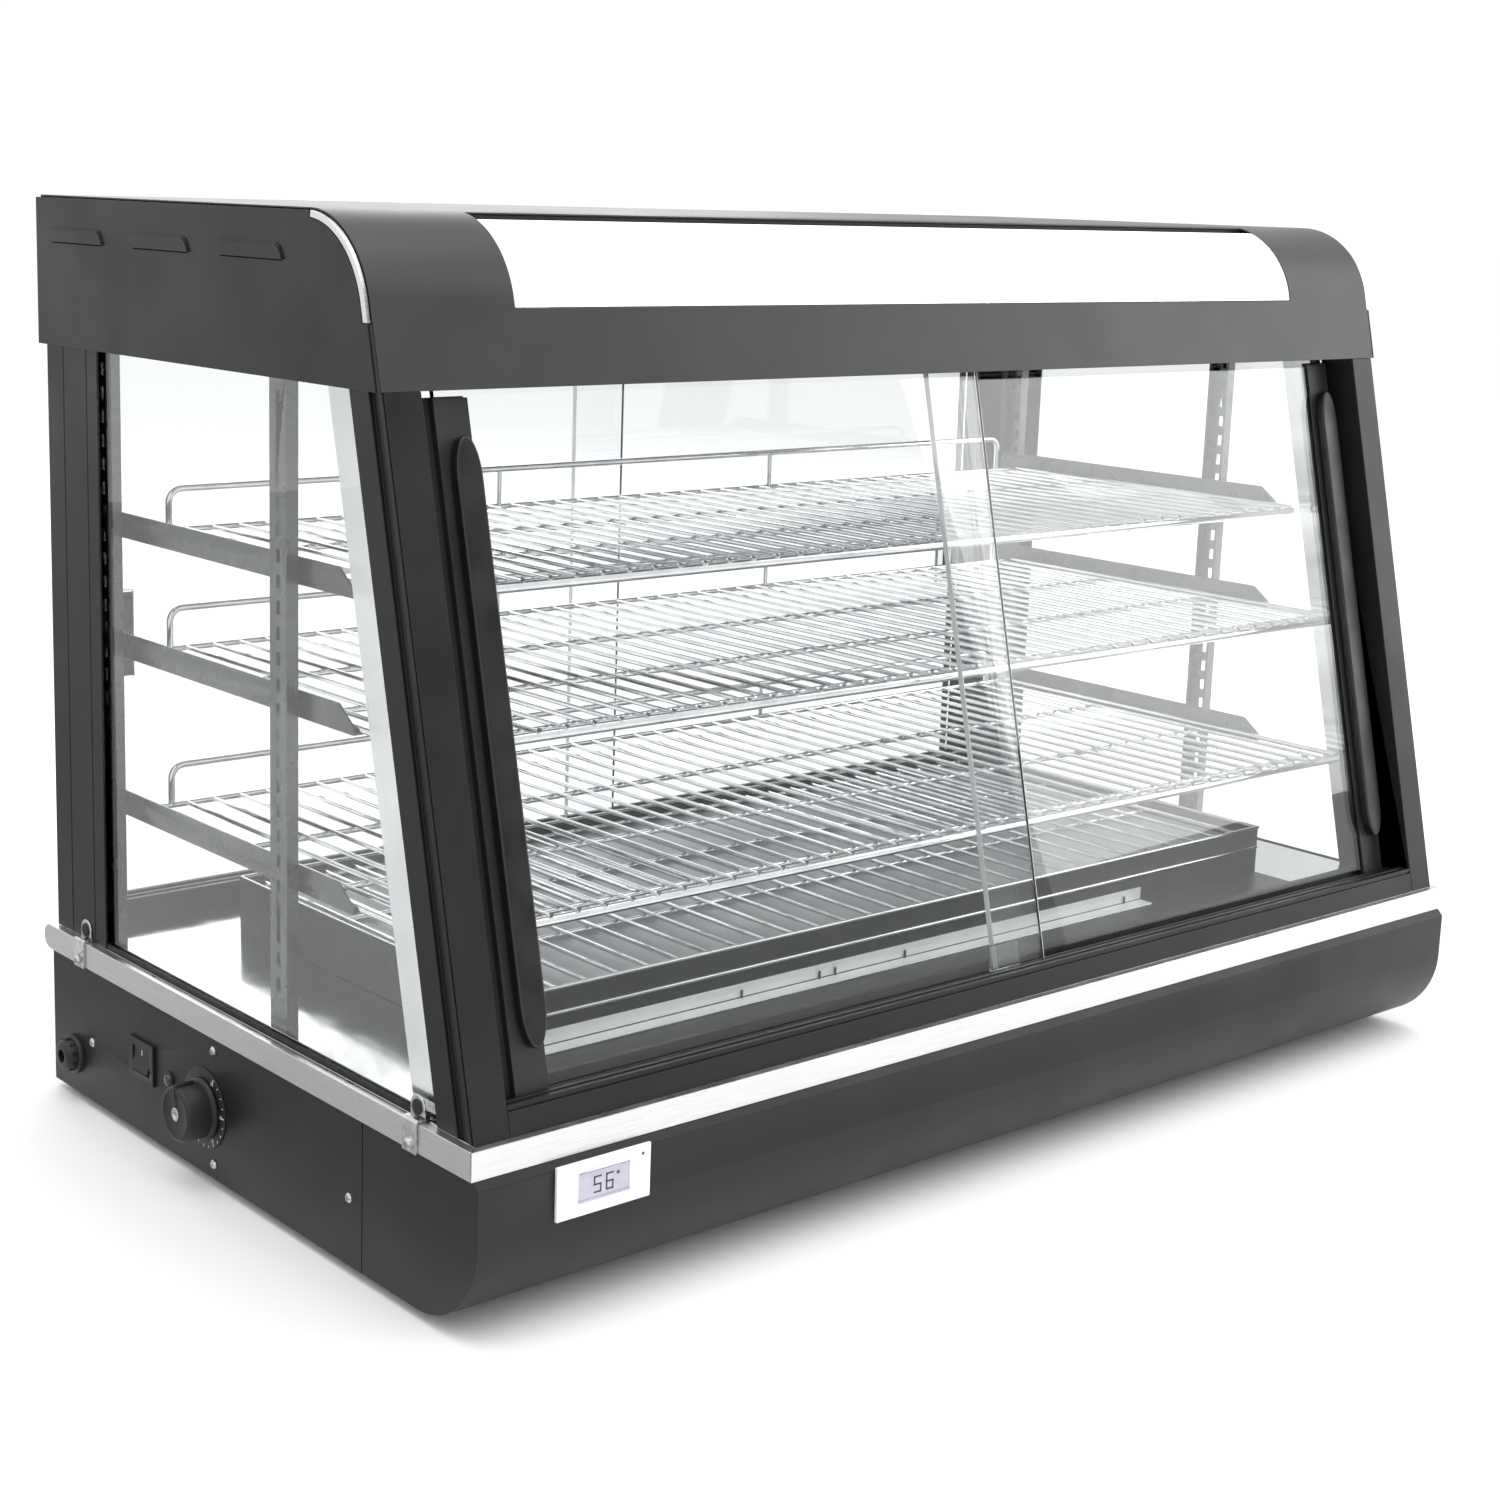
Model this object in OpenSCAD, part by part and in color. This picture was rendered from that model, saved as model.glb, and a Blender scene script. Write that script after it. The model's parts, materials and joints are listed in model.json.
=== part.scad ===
// Countertop hot food display case: a heated cabinet with sliding glass doors front and
// rear, three wire shelves on slotted standards, a lit hood and a base with the controls.
// The origin is on the counter, under the middle of the base. +X is the right side as a
// customer sees it, -Y is the front and +Z is up. All sizes are in millimetres.

/* [Case] */
// Width over the belt trims
case_w = 900; // [840:10:1000]
// Distance from the front of the belt trim to the rear of the base
case_d = 495; // [495:5:520]
// Height of the hood's top above the counter
case_h = 604; // [600:1:640]
// Height of the rubber feet
foot_h = 6; // [4:1:8]
// Top of the belt trim, where the cabinet starts
belt_z = 115; // [112:1:118]
// Height of the belt trim's face
belt_h = 17; // [14:1:20]
// Lower edge of the hood
hood_z = 509; // [500:1:512]
// Radius of the hood's front curve
hood_r = 62; // [50:1:66]
// Radius of the base's lower front edge
base_r = 57; // [40:1:58]
// Rake of the sloping front, in degrees from upright
lean = 13.14; // [12:0.02:13.5]

/* [Shelves] */
// Height of each shelf's bracket, from the top shelf down
shelf_z = [387.5, 308.5, 202.5]; // [200:0.5:400]
// Front edge of each shelf, from the top shelf down
shelf_front_y = [-105, -150, -165]; // [-170:1:-60]
// Rear edge of every shelf
shelf_rear_y = 180; // [120:1:182]
// Spacing of the shelf wires
shelf_pitch = 20; // [15:1:40]
// Height of the guard rail at the rear of a shelf
guard_h = 27; // [15:1:30]

/* [Doors] */
// Thickness of all the glass
glass_t = 4; // [3:0.5:4]
// How far each sliding door passes the middle
door_lap = 20; // [15:1:25]
// Length of a front door's grip, measured along the slope
grip_l = 337; // [250:1:340]

/* [Controls] */
// Diameter of the thermostat knob
knob_d = 40; // [34:1:42]
// How far the knob stands out from the side
knob_h = 21; // [15:1:22]
// Diameter of the dial plate behind the knob
dial_d = 52; // [46:1:54]

/* [Hidden] */
$fn = 48;
sheet = 1.2;          // gauge of the folded sheet metal
gap = 0.3;            // clearance between parts that move past each other
half_w = case_w / 2;
front_y = -case_d / 2;
rear_y = case_d / 2;
base_z = foot_h;
base_top = belt_z - belt_h;
base_half = half_w - 1;          // the base's sides stand just inside the belt trim
shell_joint_y = -140;            // seam between the front shell and the side panels
shell_front_y = front_y - 4.5;   // the shell bulges a little past the trim
trim_w = 5.5;                    // width of the trim's top flange
post_half = half_w - trim_w;     // outer faces of the four posts
foot_y = front_y + 9.5;          // foot of the door plane, on top of the trim
deck_t = 1.2;
floor_z = belt_z + 3;            // the shining floor inside
post_w = 23.8;                   // width of a front post
post_front = -4;                 // how far a front post stands before the slope
post_foot_y = slope_y(belt_z, post_front);
post_deep = 30;                  // depth of a front post, square to the slope
jamb = post_half - post_w;       // inner edge of a front post
rail_h = 17;                     // height of the door tracks
glass_low_z = belt_z + 7;        // lower edge of the doors
glass_high_z = hood_z + 15;      // upper edge of the doors, inside the hood
left_edge = jamb - 12.7;         // outer edge of the left door
right_edge = jamb - 7.7;         // outer edge of the right door
outer_n = 6.5;                   // depth of the outer front pane behind the slope
inner_n = 16.5;                  // depth of the inner front pane
stile_w = 23;
stile_t = 7;
grip_w = 17.5;
grip_t = 7;
rear_leg_y = 179;                // front edge of a rear post's side leg
rear_face_y = 221;               // inner face of a rear post
rear_post_w = 35;
rear_inner_y = 227;              // inner face of the inner rear pane
rear_outer_y = 236;              // inner face of the outer rear pane
pane_x = post_half - 3.4;        // outer face of the side panes
web_x = 431.2 + half_w - 450;    // outer face of a slotted standard
standard_w = 19;
flange_w = 8;
slot_pitch = 15.3;
slot_h = 8;
slot_w = 4;
front_standard_y = -32.6;
rear_standard_y = 184;
bracket_x = 422 + half_w - 450;  // outer face of a shelf bracket
bracket_h = 16.5;
bracket_nose_y = -90;
bracket_tail_y = 200;
shelf_half = bracket_x - sheet - 1;
wire_d = 3.2;
side_wire_d = 4.4;
rear_bar_d = 4;
front_bar_d = 6.5;
guard_d = 4.6;
box_half = 352;                  // the heater box
box_front_y = -146;
box_rear_y = 160;
rib_z = floor_z + 20;
apron_y = -206;
drip_front_y = -159;
drip_end_x = 214;
box_low_z = floor_z + 0.2;
box_top_z = floor_z + 37;
// Places of the screws on each side, in Y and Z, and along the back
side_screws = [[190, 48], [28, 90], [28, 16], [-127, 48]];
back_screw_x = [-420, -140, 140, 420];
screw_d = 3;
screw_hole_d = 3.4;
knob_y = 40;
knob_z = 49.5;
shaft_d = 6;
switch_y = 120;
switch_z = 56.5;
lamp_y = 85;
gland_y = 218;
gland_z = 32;
hood_half = half_w - 0.5;
hood_foot_y = slope_y(hood_z) - 4.3;
hood_rear_y = rear_y + 2.5;
arc_z = case_h - hood_r;
arc_y = hood_foot_y + (arc_z - hood_z) * tan(lean) + hood_r / cos(lean);
panel_half = 352;
panel_top = 111;                 // angle at which the light panel ends
panel_low_z = 552;
black = [0.10, 0.10, 0.10];
dark = [0.22, 0.22, 0.22];
steel = [0.80, 0.81, 0.82];
clear = [0.85, 0.93, 0.95, 0.35];

// Depth behind the sloping front plane, as a Y coordinate at height z
function slope_y(z, n = 0) = foot_y + (z - belt_z) * tan(lean) + n / cos(lean);
// Points of an arc in steps of about four degrees
function arc(cy, cz, r, from, to) =
    let (steps = ceil(abs(to - from) / 4))
    [for (i = [0:steps]) let (a = from + (to - from) * i / steps)
        [cy + r * cos(a), cz + r * sin(a)]];
// Curve of the hood from its front foot up to the top, shrunk by t
function hood_curve(t, from = 180 - lean) = arc(arc_y, arc_z, hood_r - t, from, 90);

module both_sides() {
    children();
    mirror([1, 0, 0]) children();
}

// An outline in Y and Z, extruded along X from x0 to x1
module yz_plate(x0, x1, outline) {
    translate([x0, 0, 0]) rotate([90, 0, 90])
        linear_extrude(x1 - x0) polygon(outline);
}

// A block given by its lowest and highest corners
module block(low, high) {
    translate(low) cube(high - low);
}

// A bar that follows the sloping front, between two depths and cut level at two heights
module lean_bar(x0, x1, n0, n1, z0, z1) {
    yz_plate(x0, x1, [
        [slope_y(z0, n0), z0], [slope_y(z0, n1), z0],
        [slope_y(z1, n1), z1], [slope_y(z1, n0), z1]
    ]);
}

// A round rod along X, Y or Z that starts at a point
module rod_x(at, l, d) {
    translate(at) rotate([0, 90, 0]) cylinder(h = l, d = d);
}
module rod_y(at, l, d) {
    translate(at) rotate([-90, 0, 0]) cylinder(h = l, d = d);
}
module rod_z(at, l, d) {
    translate(at) cylinder(h = l, d = d);
}

// ---------------------------------------------------------------- base

// Outline of the base's front, drawn in by t
function shell_outline(t) = concat(
    [[shell_joint_y, base_top - t], [front_y - 0.5 + t, base_top - t],
     [shell_front_y + t, base_top - 4 - t]],
    arc(shell_front_y + base_r, base_z + base_r, base_r - t, 180, 270),
    [[shell_joint_y, base_z + t]]
);

module base_front_shell() {
    color(black) difference() {
        yz_plate(-base_half, base_half, shell_outline(0));
        yz_plate(-base_half + 1.5, base_half - 1.5, concat(
            [[shell_joint_y + 1, base_top + 1], [front_y + 1, base_top + 1],
             [front_y + 1, base_top - 1], [shell_front_y + 1.5, base_top - 5]],
            arc(shell_front_y + base_r, base_z + base_r, base_r - 1.5, 180, 270),
            [[shell_joint_y + 1, base_z + 1.5]]
        ));
        thermometer_cutout();
    }
}

thermometer_x = -364.5;
thermometer_w = 66;
thermometer_h = 32;
thermometer_z = 80;
module thermometer_cutout() {
    block([thermometer_x - 28.2, shell_front_y - 5, thermometer_z - 12.2],
          [thermometer_x + 28.2, shell_front_y + 8, thermometer_z + 12.2]);
}

// Bottom, back and right side, folded from one sheet
module base_tray() {
    color(black) difference() {
        union() {
            block([-base_half + 1.5, shell_joint_y + 0.6, base_z], [base_half, rear_y, base_z + 1.5]);
            block([-base_half + 1.5, rear_y - 1.5, base_z], [base_half, rear_y, base_top]);
            block([base_half - 1.5, shell_joint_y + 0.6, base_z], [base_half, rear_y, base_top]);
        }
        // Vent slots across the back, and the screw holes
        for (i = [-6:6])
            block([i * 30 - 10, rear_y - 4, 50], [i * 30 + 10, rear_y + 2, 54]);
        for (p = side_screws) rod_x([base_half - 10, p[0], p[1]], 20, screw_hole_d);
        for (x = back_screw_x) rod_y([x, rear_y - 10, base_top - 8], 20, screw_hole_d);
    }
}

module base_control_panel() {
    color(black) difference() {
        union() {
            block([-base_half, shell_joint_y + 0.6, base_z], [-base_half + 1.5, rear_y, base_top]);
        }
        for (p = side_screws) rod_x([-base_half - 10, p[0], p[1]], 20, screw_hole_d);
        rod_x([-half_w - 5, knob_y, knob_z], 20, 10);
        rod_x([-half_w - 5, lamp_y, switch_z - 2.5], 20, 8.2);
        rod_x([-half_w - 5, gland_y, gland_z], 20, 16.2);
        block([-half_w - 5, switch_y - 13.2, switch_z - 10.7],
              [-half_w + 10, switch_y + 13.2, switch_z + 10.7]);
    }
}

foot_x = 385;
foot_front_y = -172;
foot_rear_y = 205;
foot_d = 30;
module rubber_feet() {
    color(dark) both_sides() for (y = [foot_front_y, foot_rear_y])
        translate([foot_x, y, 0]) cylinder(h = foot_h, d1 = foot_d - 4, d2 = foot_d);
}

module belt_trim() {
    tail_y = rear_y + 3;
    color(steel) {
        block([-half_w, front_y, base_top], [half_w, front_y + sheet, belt_z]);
        translate([0, 0, belt_z - sheet]) linear_extrude(sheet) polygon([
            [-half_w, front_y], [half_w, front_y],
            [post_half, post_foot_y], [-post_half, post_foot_y]
        ]);
        both_sides() {
            yz_plate(half_w - sheet, half_w, concat(
                [[front_y + sheet + 0.5, belt_z], [front_y + sheet + 0.5, base_top]],
                arc(tail_y, (belt_z + base_top) / 2, belt_h / 2, -90, 90)
            ));
            translate([0, 0, belt_z - sheet]) linear_extrude(sheet) polygon([
                [half_w, front_y + sheet + 0.5], [post_half, post_foot_y + 0.6],
                [post_half, rear_y], [half_w, rear_y]
            ]);
        }
    }
}

clip_front_y = -190;
clip_rear_y = 205;
clip_w = 14;
module glass_clips() {
    inner = post_half + 0.1;
    color(steel) both_sides() for (y = [clip_front_y, clip_rear_y]) {
        difference() {
            block([half_w + 0.1, y - clip_w / 2, base_top - 1],
                  [half_w + 0.1 + sheet, y + clip_w / 2, belt_z + 0.1]);
            rod_x([half_w - 5, y, base_top + 4], 20, screw_hole_d);
        }
        block([inner, y - clip_w / 2, belt_z + 0.1],
              [half_w + 0.1 + sheet, y + clip_w / 2, belt_z + 0.1 + sheet]);
        block([inner, y - clip_w / 2, belt_z + 0.1],
              [inner + sheet, y + clip_w / 2, belt_z + 7]);
        rod_x([inner, y, belt_z + 7], sheet, clip_w);
    }
}

// A pan-head screw whose head faces +X at the point given
module side_screw(at, head_d, head_h, shank) {
    translate(at) rotate([0, 90, 0]) difference() {
        union() {
            cylinder(h = head_h * 0.5, d = head_d);
            translate([0, 0, head_h * 0.5]) cylinder(h = head_h * 0.5, d1 = head_d, d2 = head_d * 0.66);
            translate([0, 0, -shank]) cylinder(h = shank, d = screw_d);
        }
        for (a = [0, 90]) rotate([0, 0, a])
            translate([-head_d * 0.25, -0.4, head_h - 0.8]) cube([head_d * 0.5, 0.8, 2]);
    }
}

module casing_screws() {
    color(steel) {
        both_sides() {
            for (y = [clip_front_y, clip_rear_y])
                side_screw([half_w + 0.1 + sheet, y, base_top + 4], 7, 2.4, 1);
            for (p = side_screws) side_screw([base_half, p[0], p[1]], 6, 2, 6);
        }
        for (x = back_screw_x) translate([x, rear_y, base_top - 8]) rotate([0, 0, 90])
            side_screw([0, 0, 0], 6, 2, 6);
    }
}

module cable_gland() {
    color(black) difference() {
        union() {
            rod_x([-base_half - 3, gland_y, gland_z], 3, 27);
            rod_x([-base_half - 10, gland_y, gland_z], 8, 22);
            rod_x([-base_half - 0.5, gland_y, gland_z], 12, 16);
        }
        rod_x([-base_half - 15, gland_y, gland_z], 30, 9);
    }
}

module switch_housing() {
    color(black) difference() {
        union() {
            block([-base_half - 2, switch_y - 16, switch_z - 13.5],
                  [-base_half, switch_y + 16, switch_z + 13.5]);
            block([-base_half - 1, switch_y - 13, switch_z - 10.5],
                  [-base_half + 22, switch_y + 13, switch_z + 10.5]);
        }
        block([-base_half - 5, switch_y - 11, switch_z - 8.5],
              [-base_half + 9, switch_y + 11, switch_z + 8.5]);
        rod_y([-base_half + 3, switch_y - 11.9, switch_z], 23.8, 3.1);
    }
}

// The rocker turns about a pin along Y; its upper half stands out when it is on
rocker_tilt = 9;
module switch_rocker() {
    color(dark) {
        translate([-base_half + 3, switch_y, switch_z]) rotate([0, rocker_tilt, 0])
            rotate([90, 0, 0]) linear_extrude(21, center = true) polygon([
                [3, -3.4], [-5.2, -7.8], [-4.2, 0], [-5.2, 7.8], [3, 3.4]
            ]);
        rod_y([-base_half + 3, switch_y - 11.6, switch_z], 23.2, 3);
    }
}

module indicator_lamp() {
    z = switch_z - 2.5;
    color([0.5, 0.5, 0.5]) {
        rod_x([-base_half - 1.2, lamp_y, z], 1.2, 11);
        rod_x([-base_half - 3, lamp_y, z], 2, 8);
        rod_x([-base_half - 0.1, lamp_y, z], 18, 8);
    }
}

module dial_plate() {
    color(black) difference() {
        rod_x([-base_half - 1, knob_y, knob_z], 1, dial_d);
        rod_x([-base_half - 5, knob_y, knob_z], 20, 10);
    }
}

module thermostat_knob() {
    face_x = -base_half - knob_h;
    color(black) difference() {
        union() {
            rod_x([face_x, knob_y, knob_z], knob_h - 1.5, knob_d - 4);
            rod_x([-base_half - 4.5, knob_y, knob_z], 3, knob_d);
            rod_x([-base_half - 4.5, knob_y, knob_z], 18, shaft_d);
            block([face_x, knob_y - 1.2, knob_z], [face_x + 12, knob_y + 1.2, knob_z + knob_d / 2 - 0.6]);
        }
        rod_x([face_x - 1, knob_y, knob_z], 2, 8);
    }
}

module thermostat_body() {
    color(steel) difference() {
        union() {
            block([-base_half + 6, knob_y - 17, knob_z - 14], [-base_half + 34, knob_y + 17, knob_z + 14]);
            rod_x([-base_half + 1.8, knob_y, knob_z], 6, 9.6);
            block([-base_half + 1.8, knob_y - 20, knob_z - 4], [-base_half + 6, knob_y + 20, knob_z + 4]);
        }
        rod_x([-base_half - 5, knob_y, knob_z], 22, shaft_d + 0.1);
    }
}

module thermometer_bezel() {
    color([0.9, 0.9, 0.92]) difference() {
        union() {
            block([thermometer_x - thermometer_w / 2, shell_front_y - 2.2, thermometer_z - thermometer_h / 2],
                  [thermometer_x + thermometer_w / 2, shell_front_y, thermometer_z + thermometer_h / 2]);
            block([thermometer_x - 28, shell_front_y - 1, thermometer_z - 12],
                  [thermometer_x + 28, shell_front_y + 14, thermometer_z + 12]);
        }
        block([thermometer_x - 18, shell_front_y - 5, thermometer_z - 8.5],
              [thermometer_x + 18, shell_front_y + 6, thermometer_z + 8.5]);
    }
}

module thermometer_display() {
    color([0.75, 0.75, 0.82])
        block([thermometer_x - 18, shell_front_y - 1.4, thermometer_z - 8.5],
              [thermometer_x + 18, shell_front_y + 1.5, thermometer_z + 8.5]);
}

module terminal_block() {
    color([0.9, 0.9, 0.88]) difference() {
        block([-400, 150, base_z + 1.5], [-340, 172, base_z + 22]);
        for (i = [0:4]) rod_z([-392 + i * 11, 161, base_z + 12], 20, 5);
    }
}

// ---------------------------------------------------------------- heated floor

module floor_pan() {
    pan_half = pane_x - glass_t - 1.2;
    pan_front = slope_y(belt_z, post_deep) + 1.5;
    pan_rear = rear_face_y - 1;
    strip_y = box_front_y - 1.6;
    color(steel) {
        difference() {
            block([-post_half + 0.4, post_foot_y + 0.6, belt_z - deck_t],
                  [post_half - 0.4, rear_y - 2, belt_z]);
            block([-pan_half + 6, pan_front + 6, belt_z - 5], [pan_half - 6, pan_rear - 6, belt_z + 5]);
        }
        block([-pan_half, pan_front, belt_z - 0.1], [pan_half, pan_rear, floor_z]);
        // Bright drip strip that stands along the foot of the heater box
        block([-box_half + 4, strip_y, floor_z - 0.1], [drip_end_x, box_front_y - 0.2, floor_z + 11.4]);
        block([-box_half + 4, drip_front_y, floor_z - 0.1], [drip_end_x, strip_y + 0.1, floor_z + 2]);
    }
}

// A folded box with a rib along its front, and a dark apron that covers the floor before it
module heater_box() {
    color(dark) {
        difference() {
            block([-box_half, box_front_y, box_low_z], [box_half, box_rear_y, box_top_z]);
            block([-box_half + sheet, box_front_y + sheet, box_low_z + sheet],
                  [box_half - sheet, box_rear_y - sheet, box_top_z + 5]);
        }
        block([-box_half + 2, box_front_y - 1.2, rib_z], [box_half - 2, box_front_y + 0.2, rib_z + 1.8]);
        both_sides()
            block([box_half - 8, box_front_y + 1, rack_z - 6], [box_half - 1, box_rear_y - 1, rack_z - 4.8]);
        block([-box_half, apron_y, box_low_z], [box_half, drip_front_y - 0.2, box_low_z + 0.8]);
        block([drip_end_x + 0.3, drip_front_y - 0.3, box_low_z], [box_half, box_front_y + 0.2, box_low_z + 0.8]);
    }
}

element_z = box_low_z + 8;
element_d = 7;
element_bend = 18;
element_half = 320;
// A sheathed heating rod bent round the water pan
module heating_element() {
    y0 = -120;
    y1 = 130;
    color(dark) {
        for (y = [y0, y1])
            rod_x([-element_half, y, element_z], 2 * element_half - element_bend, element_d);
        rod_y([element_half, y0 + element_bend, element_z], y1 - y0 - 2 * element_bend, element_d);
        translate([element_half - element_bend, y0 + element_bend, element_z])
            rotate([0, 0, -90]) rotate_extrude(angle = 90) translate([element_bend, 0]) circle(d = element_d);
        translate([element_half - element_bend, y1 - element_bend, element_z])
            rotate_extrude(angle = 90) translate([element_bend, 0]) circle(d = element_d);
        for (y = [y0, y1])
            block([-element_half - 4, y - 7, box_low_z + sheet], [-element_half + 4, y + 7, element_z + 6]);
        for (x = [-100, 120], y = [y0, y1])
            block([x - 1, y - 5, box_low_z + sheet], [x + 1, y + 5, element_z]);
    }
}

pan_x = 200;
pan_y0 = -85;
pan_y1 = 95;
pan_z = box_low_z + sheet + 0.2;
pan_h = 11;
module water_pan() {
    color(steel) difference() {
        union() {
            block([-pan_x, pan_y0, pan_z], [pan_x, pan_y1, pan_z + pan_h]);
            block([-pan_x - 8, pan_y0 - 5, pan_z + pan_h - 1], [pan_x + 8, pan_y1 + 5, pan_z + pan_h]);
        }
        block([-pan_x + 1, pan_y0 + 1, pan_z + 1], [pan_x - 1, pan_y1 - 1, pan_z + pan_h + 5]);
    }
}

rack_z = box_top_z - 6;
rack_half = box_half - 4;
rack_pitch = 24;
module bottom_rack() {
    y0 = box_front_y + 5;
    y1 = box_rear_y - 5;
    color(steel) {
        for (x = [-rack_half + 2, rack_half - 2])
            rod_y([x, y0, rack_z - 2.4], y1 - y0, 4);
        for (y = [y0, y1])
            rod_x([-rack_half, y, rack_z - 2.4], 2 * rack_half, 4);
        for (y = [y0 + 97, y1 - 97])
            rod_x([-rack_half + 10, y, rack_z - 2.6], 2 * rack_half - 20, 3.6);
        for (i = [-14:14])
            rod_y([i * rack_pitch, y0 - 1, rack_z + 0.6], y1 - y0 + 2, 3);
    }
}

// ---------------------------------------------------------------- shelves

// A slotted upright; the slots start near the floor and end under the hood
module standard(y) {
    top = hood_z + 4;
    difference() {
        block([web_x - flange_w, y, floor_z], [web_x, y + standard_w, top]);
        block([web_x - flange_w - 1, y + sheet, floor_z - 1],
              [web_x - sheet, y + standard_w - sheet, top + 1]);
        for (z = [floor_z + 22:slot_pitch:top - 20])
            block([web_x - 5, y + standard_w / 2 - slot_w / 2, z],
                  [web_x + 2, y + standard_w / 2 + slot_w / 2, z + slot_h]);
    }
}

module standards_pair() {
    color(dark) {
        standard(front_standard_y);
        standard(rear_standard_y);
    }
}

// An angle bracket: a web with a nose, and a ledge that the shelf lies on
module bracket(z) {
    yz_plate(bracket_x - sheet, bracket_x, [
        [bracket_nose_y, z], [bracket_nose_y, z + 5], [bracket_nose_y + 16, z + bracket_h],
        [bracket_tail_y, z + bracket_h], [bracket_tail_y, z]
    ]);
    block([bracket_x - 12, bracket_nose_y, z], [bracket_x - 0.2, bracket_tail_y, z + sheet]);
    for (y = [front_standard_y, rear_standard_y])
        block([bracket_x - 0.2, y + standard_w / 2 - 1, z + 4],
              [web_x - sheet, y + standard_w / 2 + 1, z + 12]);
}

module brackets_side() {
    color(dark) for (z = shelf_z) bracket(z);
}

// One wire shelf: wires from front to back, welded to bars across, with a guard at the rear
module wire_shelf(i) {
    low = shelf_z[i] + sheet + 0.2;
    y0 = shelf_front_y[i];
    y1 = shelf_rear_y;
    side_z = low + side_wire_d / 2;
    top_z = side_z + 0.1;
    rail_x = shelf_half - 28;
    count = floor((shelf_half - 8) / shelf_pitch);
    bend = 9;
    color(steel) {
        for (s = [-1, 1])
            rod_y([s * (shelf_half - side_wire_d / 2), y0, side_z], y1 - y0, side_wire_d);
        rod_x([-shelf_half + 0.2, y1, side_z], 2 * shelf_half - 0.4, rear_bar_d);
        rod_x([-shelf_half, y0, side_z - 2.6], 2 * shelf_half, front_bar_d);
        for (k = [0.05, 0.36, 0.68])
            rod_x([-shelf_half + 16, y0 + (y1 - y0) * k, top_z - 3.2], 2 * shelf_half - 32, 4);
        for (n = [-count:count])
            rod_y([n * shelf_pitch, y0 - 2.5, top_z], y1 - y0 + 2, wire_d);
        // Guard rail: a low wire fence along the rear edge
        for (s = [-1, 1]) {
            rod_z([s * rail_x, y1, side_z], guard_h - bend, guard_d);
            translate([s * (rail_x - bend), y1, side_z + guard_h - bend]) rotate([90, 0, 0])
                mirror([s < 0 ? 1 : 0, 0, 0])
                rotate_extrude(angle = 90) translate([bend, 0]) circle(d = guard_d);
        }
        rod_x([-rail_x + bend, y1, side_z + guard_h], 2 * (rail_x - bend), guard_d);
        for (x = [-rail_x / 3, rail_x / 3]) rod_z([x, y1, side_z], guard_h, 3.6);
    }
}

module shelf_top() wire_shelf(0);
module shelf_middle() wire_shelf(1);
module shelf_lower() wire_shelf(2);

// ---------------------------------------------------------------- cabinet frame

module front_post() {
    color(black) difference() {
        union() {
            lean_bar(jamb, post_half, post_front, post_deep, belt_z, hood_z);
            lean_bar(jamb - 9, jamb + 1, 23.5, post_deep, belt_z + rail_h, hood_z);
        }
        // Grooves of the extruded profile: a narrow one by the corner and a wide channel
        lean_bar(post_half - 1.6, post_half + 1, post_front + 1, post_front + 2.2, belt_z - 1, hood_z + 1);
        lean_bar(post_half - 2.5, post_half + 1, 1.5, 11, belt_z - 1, hood_z + 1);
    }
}

module post_liners() {
    color(steel) both_sides()
        lean_bar(web_x - 1, web_x, post_deep + 2, post_deep + 38, floor_z, hood_z + 4);
}

// Section of a double door track, from n = 0, with its mouth on the side of z1
module front_track(half, face, z0, z1, web_z0, web_z1) {
    for (n = [[face, 4.2], [12.6, 14.4], [22.8, 27]])
        lean_bar(-half, half, n[0], n[1], z0, z1);
    lean_bar(-half, half, face, 27, web_z0, web_z1);
}

module front_bottom_track() {
    color(black) difference() {
        front_track(jamb - 0.2, post_front, belt_z, belt_z + rail_h, belt_z, belt_z + 4);
        // Shadow groove under the lip, and a hollow behind the rail's face
        lean_bar(-post_half, post_half, post_front - 1, post_front + 1.4,
            belt_z + rail_h - 3.4, belt_z + rail_h - 2);
        lean_bar(-post_half, post_half, post_front + 3, 1.2, belt_z + 6, belt_z + rail_h + 1);
        // The mid rib is lower than the walls
        lean_bar(-post_half, post_half, 11, 16, belt_z + 14, belt_z + 30);
    }
}

module front_top_track() {
    color(black) front_track(jamb, 0, hood_z + 1, glass_high_z + 6, glass_high_z + 2, glass_high_z + 6);
}

module door_guide() {
    color(clear) lean_bar(-24, 4, 12.2, 14.8, belt_z + 14.1, belt_z + 30);
}

module rear_post() {
    color(black) difference() {
        union() {
            block([post_half - rear_post_w, rear_face_y, belt_z], [post_half, rear_y + 1, hood_z]);
            block([post_half - 1.5, rear_leg_y, belt_z], [post_half, rear_face_y + 1, hood_z]);
        }
        for (y = [rear_leg_y + 14, rear_face_y + 4])
            block([post_half - 0.7, y, belt_z - 1], [post_half + 1, y + 1.2, hood_z + 1]);
    }
}

rear_track_half = post_half - rear_post_w - 0.2;
module rear_track(z0, z1, web_z0, web_z1) {
    for (y = [[222, 226.2], [231.6, 235.2], [241, 245]])
        block([-rear_track_half, y[0], z0], [rear_track_half, y[1], z1]);
    block([-rear_track_half, 222, web_z0], [rear_track_half, 245, web_z1]);
}

module rear_bottom_track() {
    color(black) rear_track(belt_z, belt_z + rail_h, belt_z, belt_z + 4);
}
module rear_top_track() {
    color(black) rear_track(hood_z + 1, glass_high_z + 6, glass_high_z + 2, glass_high_z + 6);
}

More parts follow.
